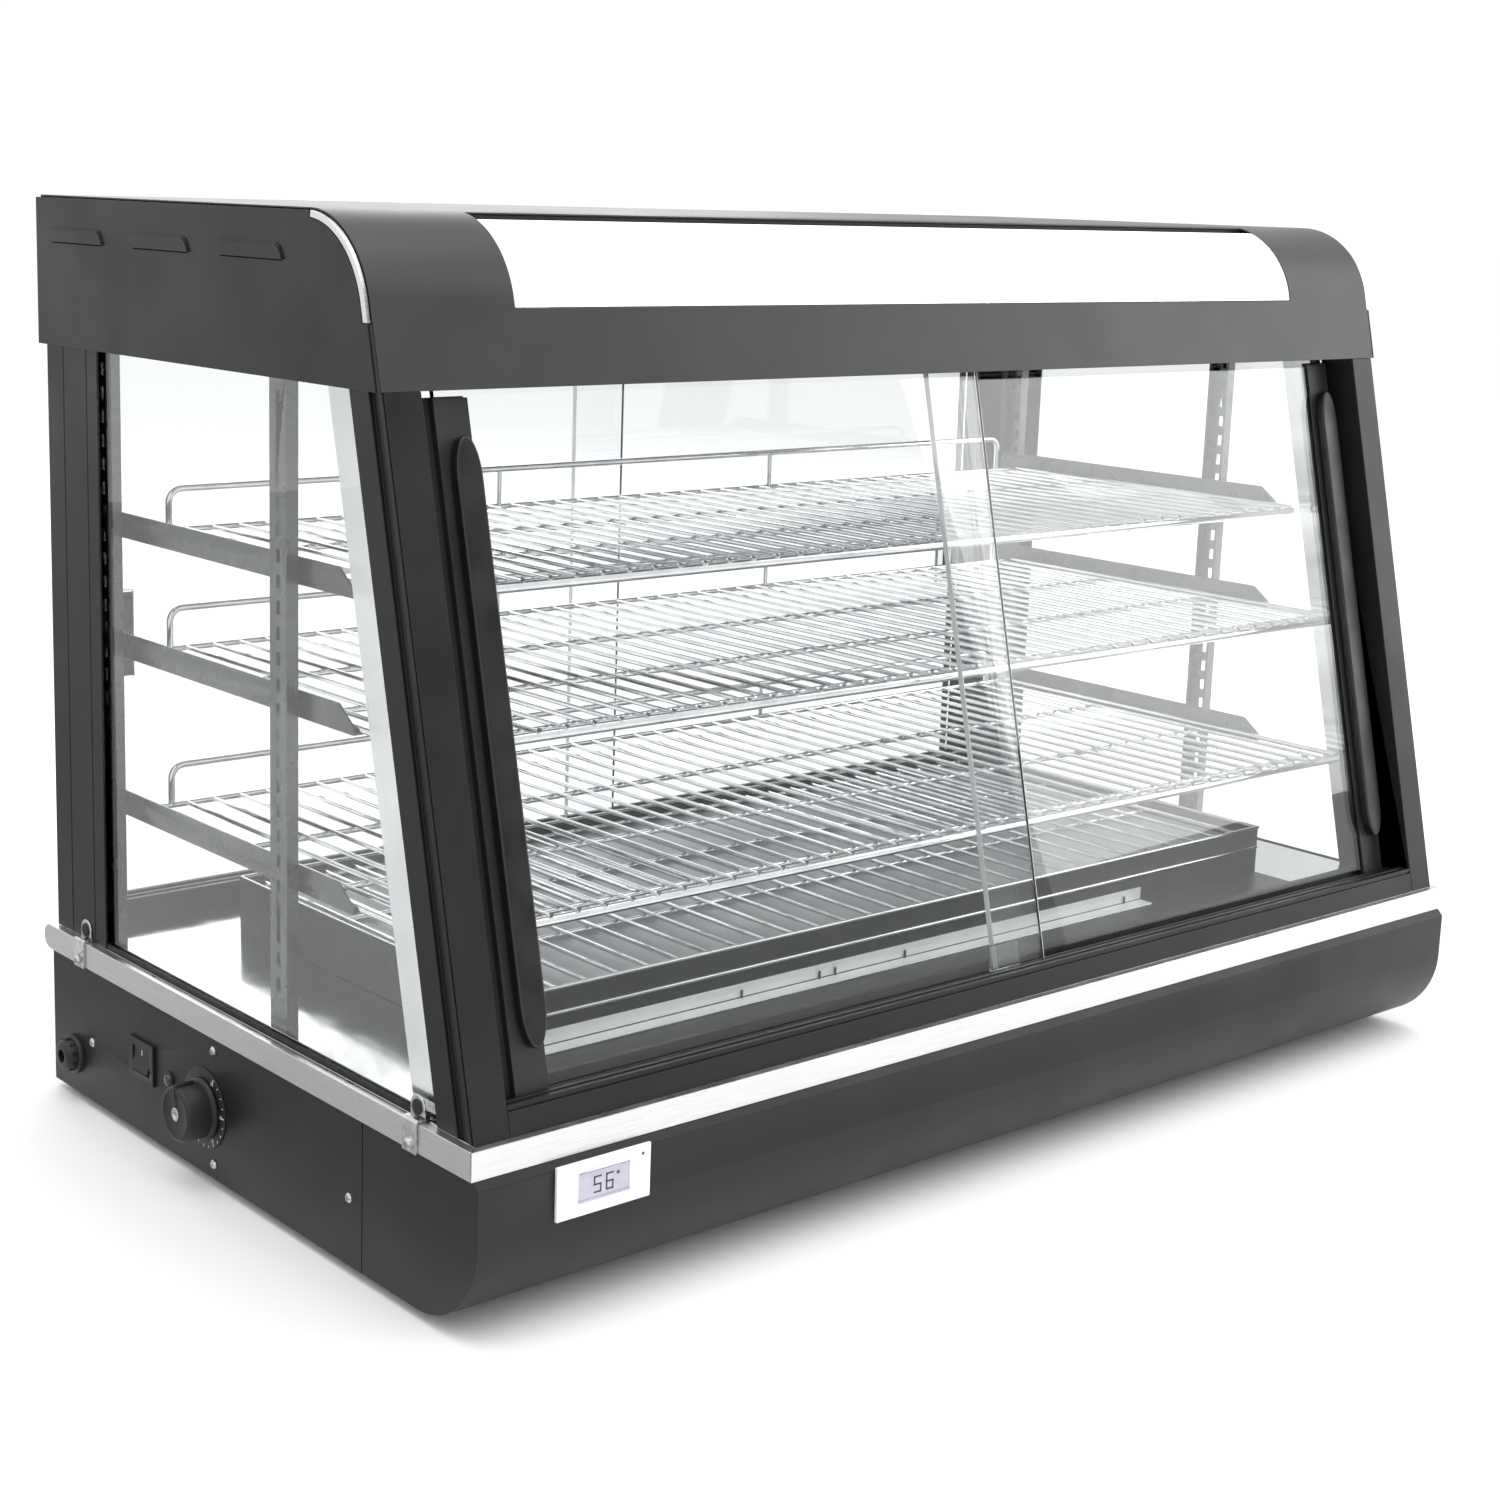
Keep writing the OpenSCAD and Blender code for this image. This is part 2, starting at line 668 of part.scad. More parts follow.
module side_pane() {
    z0 = belt_z + 0.4;
    z1 = hood_z + 6;
    color(clear) yz_plate(pane_x - glass_t, pane_x, [
        [slope_y(z0, post_deep + 0.5), z0], [rear_face_y - 1, z0],
        [rear_face_y - 1, z1], [slope_y(z1, post_deep + 0.5), z1]
    ]);
}

// ---------------------------------------------------------------- doors

// The left pane is in the outer groove and the right pane in the inner one
module front_glass(n, x0, x1) {
    color(clear) lean_bar(x0, x1, n, n + glass_t, glass_low_z, glass_high_z);
}

// The stile has a wing that closes the view past its outer edge
module front_stile(n, x0, x1, slot0, slot1, wing0, wing1) {
    color(dark) difference() {
        union() {
            lean_bar(x0, x1, n - 1.5, n + glass_t + 1.5, glass_low_z, hood_z - 5);
            lean_bar(wing0, wing1, n + glass_t - 0.7, n + glass_t + 1.2, glass_low_z, hood_z - 5);
        }
        lean_bar(slot0, slot1, n, n + glass_t, glass_low_z - 1, hood_z);
    }
}

// A flat grip with bullet-shaped ends, lying on the slope
module front_grip(x, n) {
    end = 24;
    z0 = 155;
    half = grip_w / 2;
    round_end = [for (i = [0:10]) let (a = i * 9) [half * cos(a), end * sin(a)]];
    upper = [for (p = round_end) [p[0], grip_l - end + p[1]]];
    lower = [for (p = round_end) [p[0], end - p[1]]];
    mirrored = [for (i = [10:-1:0]) [-upper[i][0], upper[i][1]]];
    mirrored_low = [for (i = [0:10]) [-lower[i][0], lower[i][1]]];
    low_back = [for (i = [10:-1:0]) lower[i]];
    color(black) translate([x, slope_y(z0, n), z0]) rotate([-lean, 0, 0])
        rotate([90, 0, 0]) linear_extrude(grip_t)
        polygon(concat(upper, [for (i = [1:10]) mirrored[i]],
            [for (i = [0:10]) mirrored_low[i]], [for (i = [1:10]) low_back[i]]));
}

module front_door_left_glass() front_glass(outer_n, -left_edge + 2, door_lap + 2);
module front_door_left_stile()
    front_stile(outer_n, -left_edge, -left_edge + stile_w, -left_edge + 2, 0,
        -jamb + 1.2, -left_edge + 1);
module front_door_left_grip() front_grip(-left_edge + 14.5, outer_n - 1.5);
module front_door_right_glass() front_glass(inner_n, -door_lap + 5, right_edge - 2);
module front_door_right_stile()
    front_stile(inner_n, right_edge - stile_w, right_edge, 0, right_edge - 2,
        right_edge - 1, jamb - 1.2);
module front_door_right_grip() front_grip(right_edge - 11, inner_n - 1.5);

module rear_glass(y, x0, x1) {
    color(clear) block([x0, y, glass_low_z], [x1, y + glass_t, glass_high_z]);
}

module rear_grip(x, y, t) {
    color(clear) block([x - 5, y, 285], [x + 5, y + t, 345]);
}

rear_door_half = rear_track_half - 1;
module rear_door_left_glass() rear_glass(rear_inner_y, -rear_door_half, door_lap);
module rear_door_left_grip() rear_grip(-rear_door_half + 12, rear_inner_y + glass_t, 4.4);
module rear_door_right_glass() rear_glass(rear_outer_y, -door_lap, rear_door_half);
module rear_door_right_grip() rear_grip(rear_door_half - 12, rear_outer_y + glass_t, 9);

// ---------------------------------------------------------------- hood

louvre_y = [157, 49, -57];
louvre_l = 73;
louvre_z = 573.5;
louvre_h = 10.5;
strip_z = 544.6;                 // lower end of the bright strip beside the hood's curve
strip_top = 94;                  // angle at which the strip ends
strip_t = 5.5;                   // how far the side plate is cut back for the strip

// A point on the hood's straight front at height z, a distance t behind its face
function hood_point(z, t) = [hood_foot_y + (z - hood_z) * tan(lean) + t / cos(lean), z];

// A pressed louvre with a curved front end, drawn in by t
function louvre_outline(t) = [
    [t, 1.4], [louvre_l - t, 1.4], [louvre_l - t, louvre_h - t], [8 + t, louvre_h - t],
    [4.6 + t, louvre_h - 1.2 - t], [2.4 + t, 6], [0.8 + t, 3.4]
];

module hood_side() {
    outline = concat(
        [[hood_rear_y, hood_z], hood_point(hood_z, 1), hood_point(strip_z, 1), hood_point(strip_z, strip_t)],
        arc(arc_y, arc_z, hood_r - strip_t, 180 - lean, strip_top),
        arc(arc_y, arc_z, hood_r - 1.6, strip_top - 0.5, 90),
        [[hood_rear_y, case_h - 1.6]]
    );
    color(black) {
        difference() {
            yz_plate(hood_half - sheet, hood_half, outline);
            for (y = louvre_y)
                block([hood_half - 5, y + 3, louvre_z + 0.6],
                      [hood_half + 5, y + louvre_l - 3, louvre_z + 3]);
        }
        for (y = louvre_y) translate([0, y, louvre_z]) rotate([90, 0, 90]) {
            translate([0, 0, hood_half - 0.1]) linear_extrude(0.8) polygon(louvre_outline(0));
            translate([0, 0, hood_half - 0.1]) linear_extrude(1.5) polygon(louvre_outline(1));
        }
    }
}

// The strip runs down the curve and a little way down the slope
module hood_arc_trims() {
    color(steel) both_sides()
        yz_plate(hood_half - 2.8, hood_half - 0.2, concat(
            [hood_point(strip_z + 0.3, 1.4)], arc(arc_y, arc_z, hood_r - 1.4, 180 - lean, strip_top + 0.5),
            arc(arc_y, arc_z, hood_r - strip_t + 0.3, strip_top + 0.5, 180 - lean),
            [hood_point(strip_z + 0.3, strip_t - 0.3)]
        ));
}

front_band_half = hood_half - 3.2;
recess_top = 100;                // angle of the upper edge of the hood's window
module hood_front() {
    t = sheet;
    outer = concat([[hood_foot_y, hood_z]], hood_curve(0));
    inner = concat([[hood_foot_y + t / cos(lean), hood_z]], hood_curve(t));
    window_y = arc_y + hood_r * cos(recess_top);
    color(dark) {
        difference() {
            yz_plate(-front_band_half, front_band_half,
                concat(outer, [for (i = [len(inner) - 1:-1:0]) inner[i]]));
            block([-panel_half, arc_y - hood_r - 20, panel_low_z], [panel_half, window_y, case_h + 5]);
        }
        // A lip folded in behind the window's upper edge
        yz_plate(-panel_half - 2, panel_half + 2, concat(
            arc(arc_y, arc_z, hood_r - 1, recess_top - 3, recess_top),
            arc(arc_y, arc_z, hood_r - 4.5, recess_top, panel_top + 4),
            arc(arc_y, arc_z, hood_r - 5.5, panel_top + 4, recess_top - 3)
        ));
    }
}

module light_panel() {
    t = 3;
    set = 0.3;
    from = 180 - lean;
    low = panel_low_z + 0.4;
    outer = concat([hood_point(low, set)], arc(arc_y, arc_z, hood_r - set, from, panel_top));
    inner = concat(arc(arc_y, arc_z, hood_r - set - t, panel_top, from), [hood_point(low, set + t)]);
    color([0.97, 0.97, 0.98])
        yz_plate(-panel_half + 0.5, panel_half - 0.5, concat(outer, inner));
}

module hood_top_cover() {
    color(steel) {
        block([-front_band_half, arc_y + 0.5, case_h - sheet], [front_band_half, hood_rear_y, case_h]);
        block([-front_band_half, hood_rear_y - sheet, hood_z], [front_band_half, hood_rear_y, case_h]);
    }
}

// The cabinet's ceiling, which also carries the lamp
module ceiling_plate() {
    y0 = slope_y(hood_z + 24, 29);
    color(steel) block([-hood_half + 3.5, y0, hood_z + 22],
        [hood_half - 3.5, hood_rear_y - 3, hood_z + 22 + sheet]);
}

lamp_d = 16;
lamp_z = 566;
lamp_half = 300;
module lamp_tube() {
    color([1, 1, 0.95]) rod_x([-lamp_half, arc_y, lamp_z], 2 * lamp_half, lamp_d);
}

module lamp_holders() {
    color([0.9, 0.9, 0.9]) both_sides() difference() {
        block([lamp_half - 8, arc_y - 12, hood_z + 22 + sheet], [lamp_half + 8, arc_y + 12, lamp_z + 12]);
        rod_x([lamp_half - 20, arc_y, lamp_z], 20.1, lamp_d + 0.2);
    }
}

base_front_shell();
base_tray();
base_control_panel();
rubber_feet();
belt_trim();
glass_clips();
casing_screws();
cable_gland();
switch_housing();
switch_rocker();
indicator_lamp();
dial_plate();
thermostat_knob();
thermostat_body();
thermometer_bezel();
thermometer_display();
terminal_block();
floor_pan();
heater_box();
heating_element();
water_pan();
bottom_rack();
mirror([1, 0, 0]) standards_pair();  // shelf_standards_left
standards_pair();  // shelf_standards_right
mirror([1, 0, 0]) brackets_side();  // shelf_brackets_left
brackets_side();  // shelf_brackets_right
shelf_top();
shelf_middle();
shelf_lower();
mirror([1, 0, 0]) front_post();  // front_post_left
front_post();  // front_post_right
post_liners();
front_bottom_track();
front_top_track();
door_guide();
mirror([1, 0, 0]) rear_post();  // rear_post_left
rear_post();  // rear_post_right
rear_bottom_track();
rear_top_track();
mirror([1, 0, 0]) side_pane();  // side_glass_left
side_pane();  // side_glass_right
front_door_left_glass();
front_door_left_stile();
front_door_left_grip();
front_door_right_glass();
front_door_right_stile();
front_door_right_grip();
rear_door_left_glass();
rear_door_left_grip();
rear_door_right_glass();
rear_door_right_grip();
mirror([1, 0, 0]) hood_side();  // hood_side_left
hood_side();  // hood_side_right
hood_arc_trims();
hood_front();
hood_top_cover();
light_panel();
ceiling_plate();
lamp_tube();
lamp_holders();
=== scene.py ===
"""Looks of a countertop hot food display case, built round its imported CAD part.

All lengths below are in millimetres and are turned into metres when a piece is made."""

import json
import math

import bmesh
import bpy
from mathutils import Matrix, Vector

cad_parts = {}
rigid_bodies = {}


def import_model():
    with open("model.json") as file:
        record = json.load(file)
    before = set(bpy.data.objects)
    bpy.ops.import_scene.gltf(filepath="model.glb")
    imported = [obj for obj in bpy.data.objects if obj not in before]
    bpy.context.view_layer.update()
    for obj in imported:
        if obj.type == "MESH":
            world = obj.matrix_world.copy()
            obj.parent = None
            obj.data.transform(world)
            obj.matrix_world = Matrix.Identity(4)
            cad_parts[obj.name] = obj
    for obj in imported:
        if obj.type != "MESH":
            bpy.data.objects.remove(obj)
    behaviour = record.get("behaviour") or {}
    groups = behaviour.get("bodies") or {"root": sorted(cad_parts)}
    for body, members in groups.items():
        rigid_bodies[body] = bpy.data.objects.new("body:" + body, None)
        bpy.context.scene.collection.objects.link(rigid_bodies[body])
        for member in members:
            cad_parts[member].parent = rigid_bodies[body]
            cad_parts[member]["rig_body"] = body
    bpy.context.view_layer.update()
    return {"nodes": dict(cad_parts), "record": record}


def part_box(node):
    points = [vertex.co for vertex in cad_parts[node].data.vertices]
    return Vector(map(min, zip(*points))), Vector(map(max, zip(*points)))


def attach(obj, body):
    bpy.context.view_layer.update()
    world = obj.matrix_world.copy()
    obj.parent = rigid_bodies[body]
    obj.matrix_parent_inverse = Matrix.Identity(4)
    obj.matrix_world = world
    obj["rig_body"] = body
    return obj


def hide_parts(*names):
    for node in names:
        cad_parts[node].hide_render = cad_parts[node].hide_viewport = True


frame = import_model()
NODES = frame["nodes"]
MM = 0.001
SHARP = math.radians(35)
EVEN = (1, 1, 1)
# How far the front leans back, in degrees from upright
FRONT_LEAN = math.radians(13.14)


# ------------------------------------------------------------------ finishes


def linear(hex_colour):
    """An sRGB hex value as the linear colour a socket takes."""
    channels = []
    for start in (1, 3, 5):
        c = int(hex_colour[start : start + 2], 16) / 255
        channels.append(c / 12.92 if c <= 0.04045 else ((c + 0.055) / 1.055) ** 2.4)
    return (*channels, 1.0)


def add(tree, kind, settings, **links):
    """Adds one node: settings are its options and input values, links what feeds its inputs."""
    made = tree.nodes.new(kind)
    for name, value in settings.items():
        if isinstance(name, int) or name in made.inputs:
            made.inputs[name].default_value = value
        else:
            setattr(made, name, value)
    for name, source in links.items():
        tree.links.new(source, made.inputs[name.replace("_", " ")])
    return made


def mottled(tree, size, low, high, stretch=EVEN, detail=3.0):
    """A soft pattern in patches of a size in millimetres, with values from low to high."""
    where = add(tree, "ShaderNodeTexCoord", {})
    placed = add(tree, "ShaderNodeMapping", {"Scale": stretch}, Vector=where.outputs["Object"])
    noise = add(
        tree,
        "ShaderNodeTexNoise",
        {"Scale": 1 / (size * MM), "Detail": detail},
        Vector=placed.outputs["Vector"],
    )
    spread = add(
        tree,
        "ShaderNodeMapRange",
        {"From Min": 0.32, "From Max": 0.68, "To Min": low, "To Max": high},
        Value=noise.outputs["Fac"],
    )
    return spread.outputs["Result"]


def finish(
    name, colour, other, patch, roughness, metallic=0.0, bumps=(), stretch=EVEN, **uniform
):
    """A finish whose colour wanders between two hex values in patches of a size, whose
    roughness runs between two values, and whose bumps are (size, height, stretch) each."""
    made = bpy.data.materials.new(name)
    made.use_nodes = True
    tree = made.node_tree
    shader = tree.nodes["Principled BSDF"]
    shader.inputs["Metallic"].default_value = metallic
    for socket, value in uniform.items():
        shader.inputs[socket.replace("_", " ")].default_value = value
    tint = add(
        tree,
        "ShaderNodeMix",
        {"data_type": "RGBA"},
        Factor=mottled(tree, patch, 0.0, 1.0, stretch),
    )
    tint.inputs[6].default_value = linear(colour)
    tint.inputs[7].default_value = linear(other)
    tree.links.new(tint.outputs[2], shader.inputs["Base Color"])
    tree.links.new(
        mottled(tree, patch * 0.6, roughness[0], roughness[1], stretch), shader.inputs["Roughness"]
    )
    below = None
    for size, height, along in bumps:
        bump = add(
            tree,
            "ShaderNodeBump",
            {"Strength": 1.0, "Distance": height * MM},
            Height=mottled(tree, size, 0.0, 1.0, along, 2.0),
        )
        if below is not None:
            tree.links.new(below.outputs["Normal"], bump.inputs["Normal"])
        below = bump
    if below is not None:
        tree.links.new(below.outputs["Normal"], shader.inputs["Normal"])
    return made


# Baked enamel on pressed steel: near black, a satin sheen and a faint orange peel. The peel is
# really about 1 mm across, and is drawn 3 mm wide so that it shows.
black_enamel = finish(
    "black_baked_enamel",
    "#161617",
    "#1b1b1c",
    90,
    (0.36, 0.46),
    bumps=[(3, 0.01, EVEN)],
    Specular_IOR_Level=0.36,
)
# The same black enamel drawn lighter, in charcoal, as a painted sheen, on the rolled hood front
# and the heater box, where wiping has left cloudy patches
dark_enamel = finish(
    "enamel_lightened_as_sheen",
    "#333334",
    "#373738",
    70,
    (0.36, 0.41),
    bumps=[(3, 0.003, EVEN)],
    Specular_IOR_Level=0.42,
)
# Brushed stainless strip: fine scratches along the front, 0.1 mm apart and drawn 0.6 mm apart
brushed_trim = finish(
    "brushed_stainless_strip",
    "#dadadb",
    "#e4e4e5",
    0.6,
    (0.26, 0.4),
    metallic=1.0,
    bumps=[(0.6, 0.004, (0.02, 0.02, 1))],
    stretch=(0.02, 0.02, 1),
)
# Mirror-polished stainless: almost clean, with faint smears
polished_steel = finish(
    "polished_stainless",
    "#c9cacb",
    "#d6d6d7",
    70,
    (0.07, 0.16),
    metallic=1.0,
    bumps=[(140, 0.05, EVEN)],
)
# Zinc-plated steel: bright, slightly cloudy crystals
zinc_steel = finish(
    "zinc_plated_steel",
    "#c2c3c5",
    "#dcdddd",
    4,
    (0.2, 0.34),
    metallic=1.0,
    bumps=[(1.2, 0.006, EVEN)],
)
# Cold-rolled stainless of the slotted uprights and brackets: darker and satin, drawn lengthwise
slotted_steel = finish(
    "satin_rolled_stainless",
    "#525355",
    "#5c5d5f",
    60,
    (0.24, 0.3),
    metallic=1.0,
    bumps=[(0.8, 0.003, (1, 1, 0.04))],
)
# Bright chrome plating on drawn wire, with a little waviness from the drawing
chrome_wire = finish(
    "chrome_plated_wire",
    "#d9dadc",
    "#eeeeef",
    25,
    (0.08, 0.16),
    metallic=1.0,
    bumps=[(6, 0.01, EVEN)],
)
# Moulded black ABS with a fine spark-eroded texture, 0.3 mm and drawn 1 mm wide
black_plastic = finish(
    "moulded_black_abs", "#131314", "#19191a", 20, (0.42, 0.55), bumps=[(1, 0.012, EVEN)], IOR=1.53
)
# Extruded black PVC of the grips: smoother and deeper black
grip_plastic = finish(
    "extruded_black_pvc",
    "#0b0b0c",
    "#101011",
    40,
    (0.3, 0.42),
    bumps=[(9, 0.01, (1, 1, 0.1))],
    IOR=1.53,
)
# Anodised dark grey aluminium of the door stiles, with lengthwise die lines
dark_stile = finish(
    "dark_anodised_aluminium",
    "#2b2b2c",
    "#303031",
    40,
    (0.36, 0.44),
    metallic=0.2,
    bumps=[(0.8, 0.003, (1, 0.1, 0.03))],
)
# Smoked polycarbonate of the pilot lamp
lamp_lens = finish("smoked_polycarbonate", "#3c3534", "#4a4140", 6, (0.12, 0.2), IOR=1.58)
# Moulded white ABS of the thermometer, a little violet
white_plastic = finish(
    "moulded_white_abs", "#eceaf2", "#f3f2f7", 18, (0.3, 0.4), bumps=[(1, 0.008, EVEN)], IOR=1.53
)
# Liquid crystal window behind clear acrylic: grey with a violet cast
display_window = finish("lcd_window", "#b9b6c6", "#c7c5d2", 10, (0.08, 0.14), IOR=1.49)
# Steatite of the terminal block: matt and chalky
ceramic_white = finish(
    "unglazed_steatite", "#e3e1d9", "#efeee8", 5, (0.6, 0.75), bumps=[(0.8, 0.02, EVEN)]
)
# Opal acrylic diffuser, lit softly from behind
opal_acrylic = finish(
    "opal_acrylic",
    "#f7f7f8",
    "#fdfdfd",
    120,
    (0.16, 0.24),
    IOR=1.49,
    Emission_Color=linear("#ffffff"),
    Emission_Strength=0.45,
)
# Incoloy sheath of the heating rod: dark oxide in bands of heat tint
heater_sheath = finish(
    "oxidised_incoloy",
    "#2b2724",
    "#4a423c",
    14,
    (0.42, 0.6),
    metallic=0.6,
    bumps=[(0.7, 0.01, EVEN)],
)
# Black rubber of the feet, gaskets and clip pads: matt and slightly grey where it is rubbed
rubber = finish(
    "black_rubber", "#161616", "#202020", 12, (0.62, 0.78), bumps=[(0.9, 0.02, EVEN)], IOR=1.52
)
# White printing ink on the dial and the switch
white_ink = finish("white_screen_ink", "#cfcfcf", "#e0e0e0", 2, (0.5, 0.6))
# Dark liquid crystal segments
dark_ink = finish("lcd_segment", "#37333f", "#45414d", 2, (0.3, 0.4))
# Sheet that reflects the heat upwards: pale, matt-rolled and even
pale_sheet = finish(
    "matt_rolled_aluminium",
    "#b4b5b6",
    "#bfc0c1",
    60,
    (0.5, 0.6),
    metallic=0.45,
    bumps=[(2, 0.004, EVEN)],
)
# An even matt white that hardly mirrors, on the strip along the heater box's foot: painted light
# where light passes beneath the box
painted_light_white = finish("even_white_painted_light", "#e9e9e9", "#f2f2f2", 30, (0.45, 0.55), metallic=0.3)
# Ground and seamed edges of the panes: matt and milky
ground_edge = finish("ground_glass_edge", "#dfe4e3", "#eceeed", 6, (0.5, 0.7), IOR=1.5)
# Phosphor-coated lamp tube, white and lit
lamp_glass = finish(
    "phosphor_coated_glass",
    "#f6f6f0",
    "#fbfbf8",
    30,
    (0.08, 0.14),
    Emission_Color=linear("#fffdf6"),
    Emission_Strength=0.8,
)


def clear(name, colour, roughness, ior):
    """A see-through finish that lets lamps shine straight through."""
    made = bpy.data.materials.new(name)
    made.use_nodes = True
    tree = made.node_tree
    shader = tree.nodes["Principled BSDF"]
    for socket, value in {
        "Base Color": linear(colour),
        "Transmission Weight": 1.0,
        "IOR": ior,
    }.items():
        shader.inputs[socket].default_value = value
    # Wiping leaves smears about a hand wide
    tree.links.new(mottled(tree, 160, roughness[0], roughness[1]), shader.inputs["Roughness"])
    lit = add(tree, "ShaderNodeLightPath", {})
    open_way = add(tree, "ShaderNodeBsdfTransparent", {"Color": linear(colour)})
    both = add(tree, "ShaderNodeMixShader", {}, Fac=lit.outputs["Is Shadow Ray"])
    tree.links.new(shader.outputs["BSDF"], both.inputs[1])
    tree.links.new(open_way.outputs["BSDF"], both.inputs[2])
    tree.links.new(both.outputs["Shader"], tree.nodes["Material Output"].inputs["Surface"])
    return made


# Float glass, 4 mm, cut and edge-ground: clean, with a faint cool cast
clear_glass = clear("float_glass", "#f9fbfb", (0.0, 0.012), 1.5)
# Clear moulded polycarbonate of the door guide and the rear doors' pulls: a little cloudy
clear_plastic = clear("clear_polycarbonate", "#eef0f0", (0.06, 0.12), 1.55)

FINISH = {
    "black_enamel": black_enamel,
    "dark_enamel": dark_enamel,
    "brushed_trim": brushed_trim,
    "polished_steel": polished_steel,
    "zinc_steel": zinc_steel,
    "slotted_steel": slotted_steel,
    "chrome_wire": chrome_wire,
    "clear_glass": clear_glass,
    "clear_plastic": clear_plastic,
    "black_plastic": black_plastic,
    "grip_plastic": grip_plastic,
    "dark_stile": dark_stile,
    "lamp_lens": lamp_lens,
    "white_plastic": white_plastic,
    "display_window": display_window,
    "ceramic_white": ceramic_white,
    "opal_acrylic": opal_acrylic,
    "heater_sheath": heater_sheath,
    "rubber": rubber,
    "lamp_glass": lamp_glass,
}
SLOT_OF = {s["node"]: s["material_slot"] for s in frame["record"]["subparts"]}


# ------------------------------------------------------------------ making pieces


def block(bm, low, high, rounding=0.0, steps=2):
    """A block between two corners with rounded edges."""
    low, high = Vector(low), Vector(high)
    shape = Matrix.Translation((low + high) / 2) @ Matrix.Diagonal((*(high - low), 1.0))
    made = bmesh.ops.create_cube(bm, size=1.0, matrix=shape)
    if rounding:
        edges = {e for v in made["verts"] for e in v.link_edges}
        bmesh.ops.bevel(
            bm,
            geom=list(edges),
            offset=rounding,
            segments=steps,
            affect="EDGES",
            profile=0.5,
            material=-1,
            clamp_overlap=True,
        )


def turned_to(direction):
    """A turn that brings +Z to a direction."""
    return Vector(direction).to_track_quat("Z", "Y").to_matrix().to_4x4()


def rod(bm, start, end, across, sides=12):
    """A straight round bar between two points."""
    start, end = Vector(start), Vector(end)
    bmesh.ops.create_cone(
        bm,
        cap_ends=True,
        segments=sides,
        radius1=across / 2,
        radius2=across / 2,
        depth=(end - start).length,
        matrix=Matrix.Translation((start + end) / 2) @ turned_to(end - start),
    )


def swept(bm, face, moves):
    """Draws a face out along moves: a vector is a straight run, and (centre, axis, degrees,
    steps) a bend about an axis."""
    for move in moves:
        if len(move) == 3:
            made = bmesh.ops.extrude_face_region(bm, geom=[face])["geom"]
            face = [g for g in made if isinstance(g, bmesh.types.BMFace)][0]
            bmesh.ops.translate(bm, verts=face.verts, vec=Vector(move))
        else:
            centre, axis, degrees, steps = move
            made = bmesh.ops.spin(
                bm,
                geom=[face],
                cent=Vector(centre),
                axis=Vector(axis),
                angle=math.radians(degrees),
                steps=steps,
            )["geom_last"]
            face = [g for g in made if isinstance(g, bmesh.types.BMFace)][0]
    return face


def round_face(bm, at, direction, across, sides=12):
    """The round end of a wire that is about to be drawn out."""
    made = bmesh.ops.create_circle(
        bm,
        cap_ends=True,
        segments=sides,
        radius=across / 2,
        matrix=Matrix.Translation(Vector(at)) @ turned_to(direction),
    )
    return made["verts"][0].link_faces[0]


def lathe(bm, profile, centre, axis, steps=48):
    """A turned solid: the profile's points are (distance along the axis, radius)."""
    axis = Vector(axis).normalized()
    side = axis.orthogonal().normalized()
    centre = Vector(centre)
    points = [bm.verts.new(centre + axis * a + side * r) for a, r in profile]
    edges = [bm.edges.new(pair) for pair in zip(points, points[1:])]
    bmesh.ops.spin(
        bm,
        geom=points + edges,
        cent=centre,
        axis=axis,
        angle=math.tau,
        steps=steps,
        use_merge=True,
    )
    bmesh.ops.remove_doubles(bm, verts=bm.verts, dist=0.001)


def keep(name, bm, material, body, nodes=(), bevel=0.0, segments=2, sharp=SHARP):
    """Turns a bmesh in millimetres into a finished piece that rides on a body."""
    bmesh.ops.remove_doubles(bm, verts=bm.verts, dist=0.0005)
    bmesh.ops.recalc_face_normals(bm, faces=bm.faces)
    bmesh.ops.scale(bm, vec=(MM, MM, MM), verts=bm.verts)
    settle(name, bm, material, body, nodes, bevel, segments, sharp)


def settle(name, bm, material, body, nodes, bevel, segments, sharp):
    """Makes a bmesh in metres a smooth-shaded piece with crisp edges, and puts it on its body."""
    for face in bm.faces:
        face.smooth = True
    for edge in bm.edges:
        if len(edge.link_faces) == 2 and edge.calc_face_angle(0.0) > sharp:
            edge.smooth = False
    mesh = bpy.data.meshes.new(name)
    bm.to_mesh(mesh)
    bm.free()
    mesh.materials.append(material)
    piece = bpy.data.objects.new(name, mesh)
    bpy.context.scene.collection.objects.link(piece)
    if bevel:
        edge_round = piece.modifiers.new("edge_round", "BEVEL")
        edge_round.width = bevel * MM
        edge_round.segments = segments
        edge_round.limit_method = "ANGLE"
        edge_round.angle_limit = SHARP
        edge_round.harden_normals = True
        edge_round.miter_outer = "MITER_ARC"
    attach(piece, body)
    if nodes:
        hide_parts(*nodes)
    return piece


# Parts whose long thin faces show best unsmoothed
FLAT = ("hood_side_left", "hood_side_right")


def dressed(node, bevel, segments=2):
    """A copy of a CAD node with its seams merged and its edges rounded by a bevel."""
    source = NODES[node]
    bm = bmesh.new()
    bm.from_mesh(source.data)
    bmesh.ops.remove_doubles(bm, verts=bm.verts, dist=1e-6)
    bmesh.ops.dissolve_limit(
        bm,
        angle_limit=math.radians(0.3),
        verts=bm.verts,
        edges=bm.edges,
        delimit=set(),
    )
    bmesh.ops.recalc_face_normals(bm, faces=bm.faces)
    slot = SLOT_OF[node]
    piece = settle(
        node + "_made", bm, FINISH[slot], source["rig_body"], (node,), bevel, segments, SHARP
    )
    if node in FLAT:
        for face in piece.data.polygons:
            face.use_smooth = False
        piece.modifiers["edge_round"].harden_normals = False


def bounds_of(node):
    """A CAD node's lowest and highest corners, in millimetres."""
    low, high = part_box(node)
    return low / MM, high / MM


# ------------------------------------------------------------------ folded and cut parts

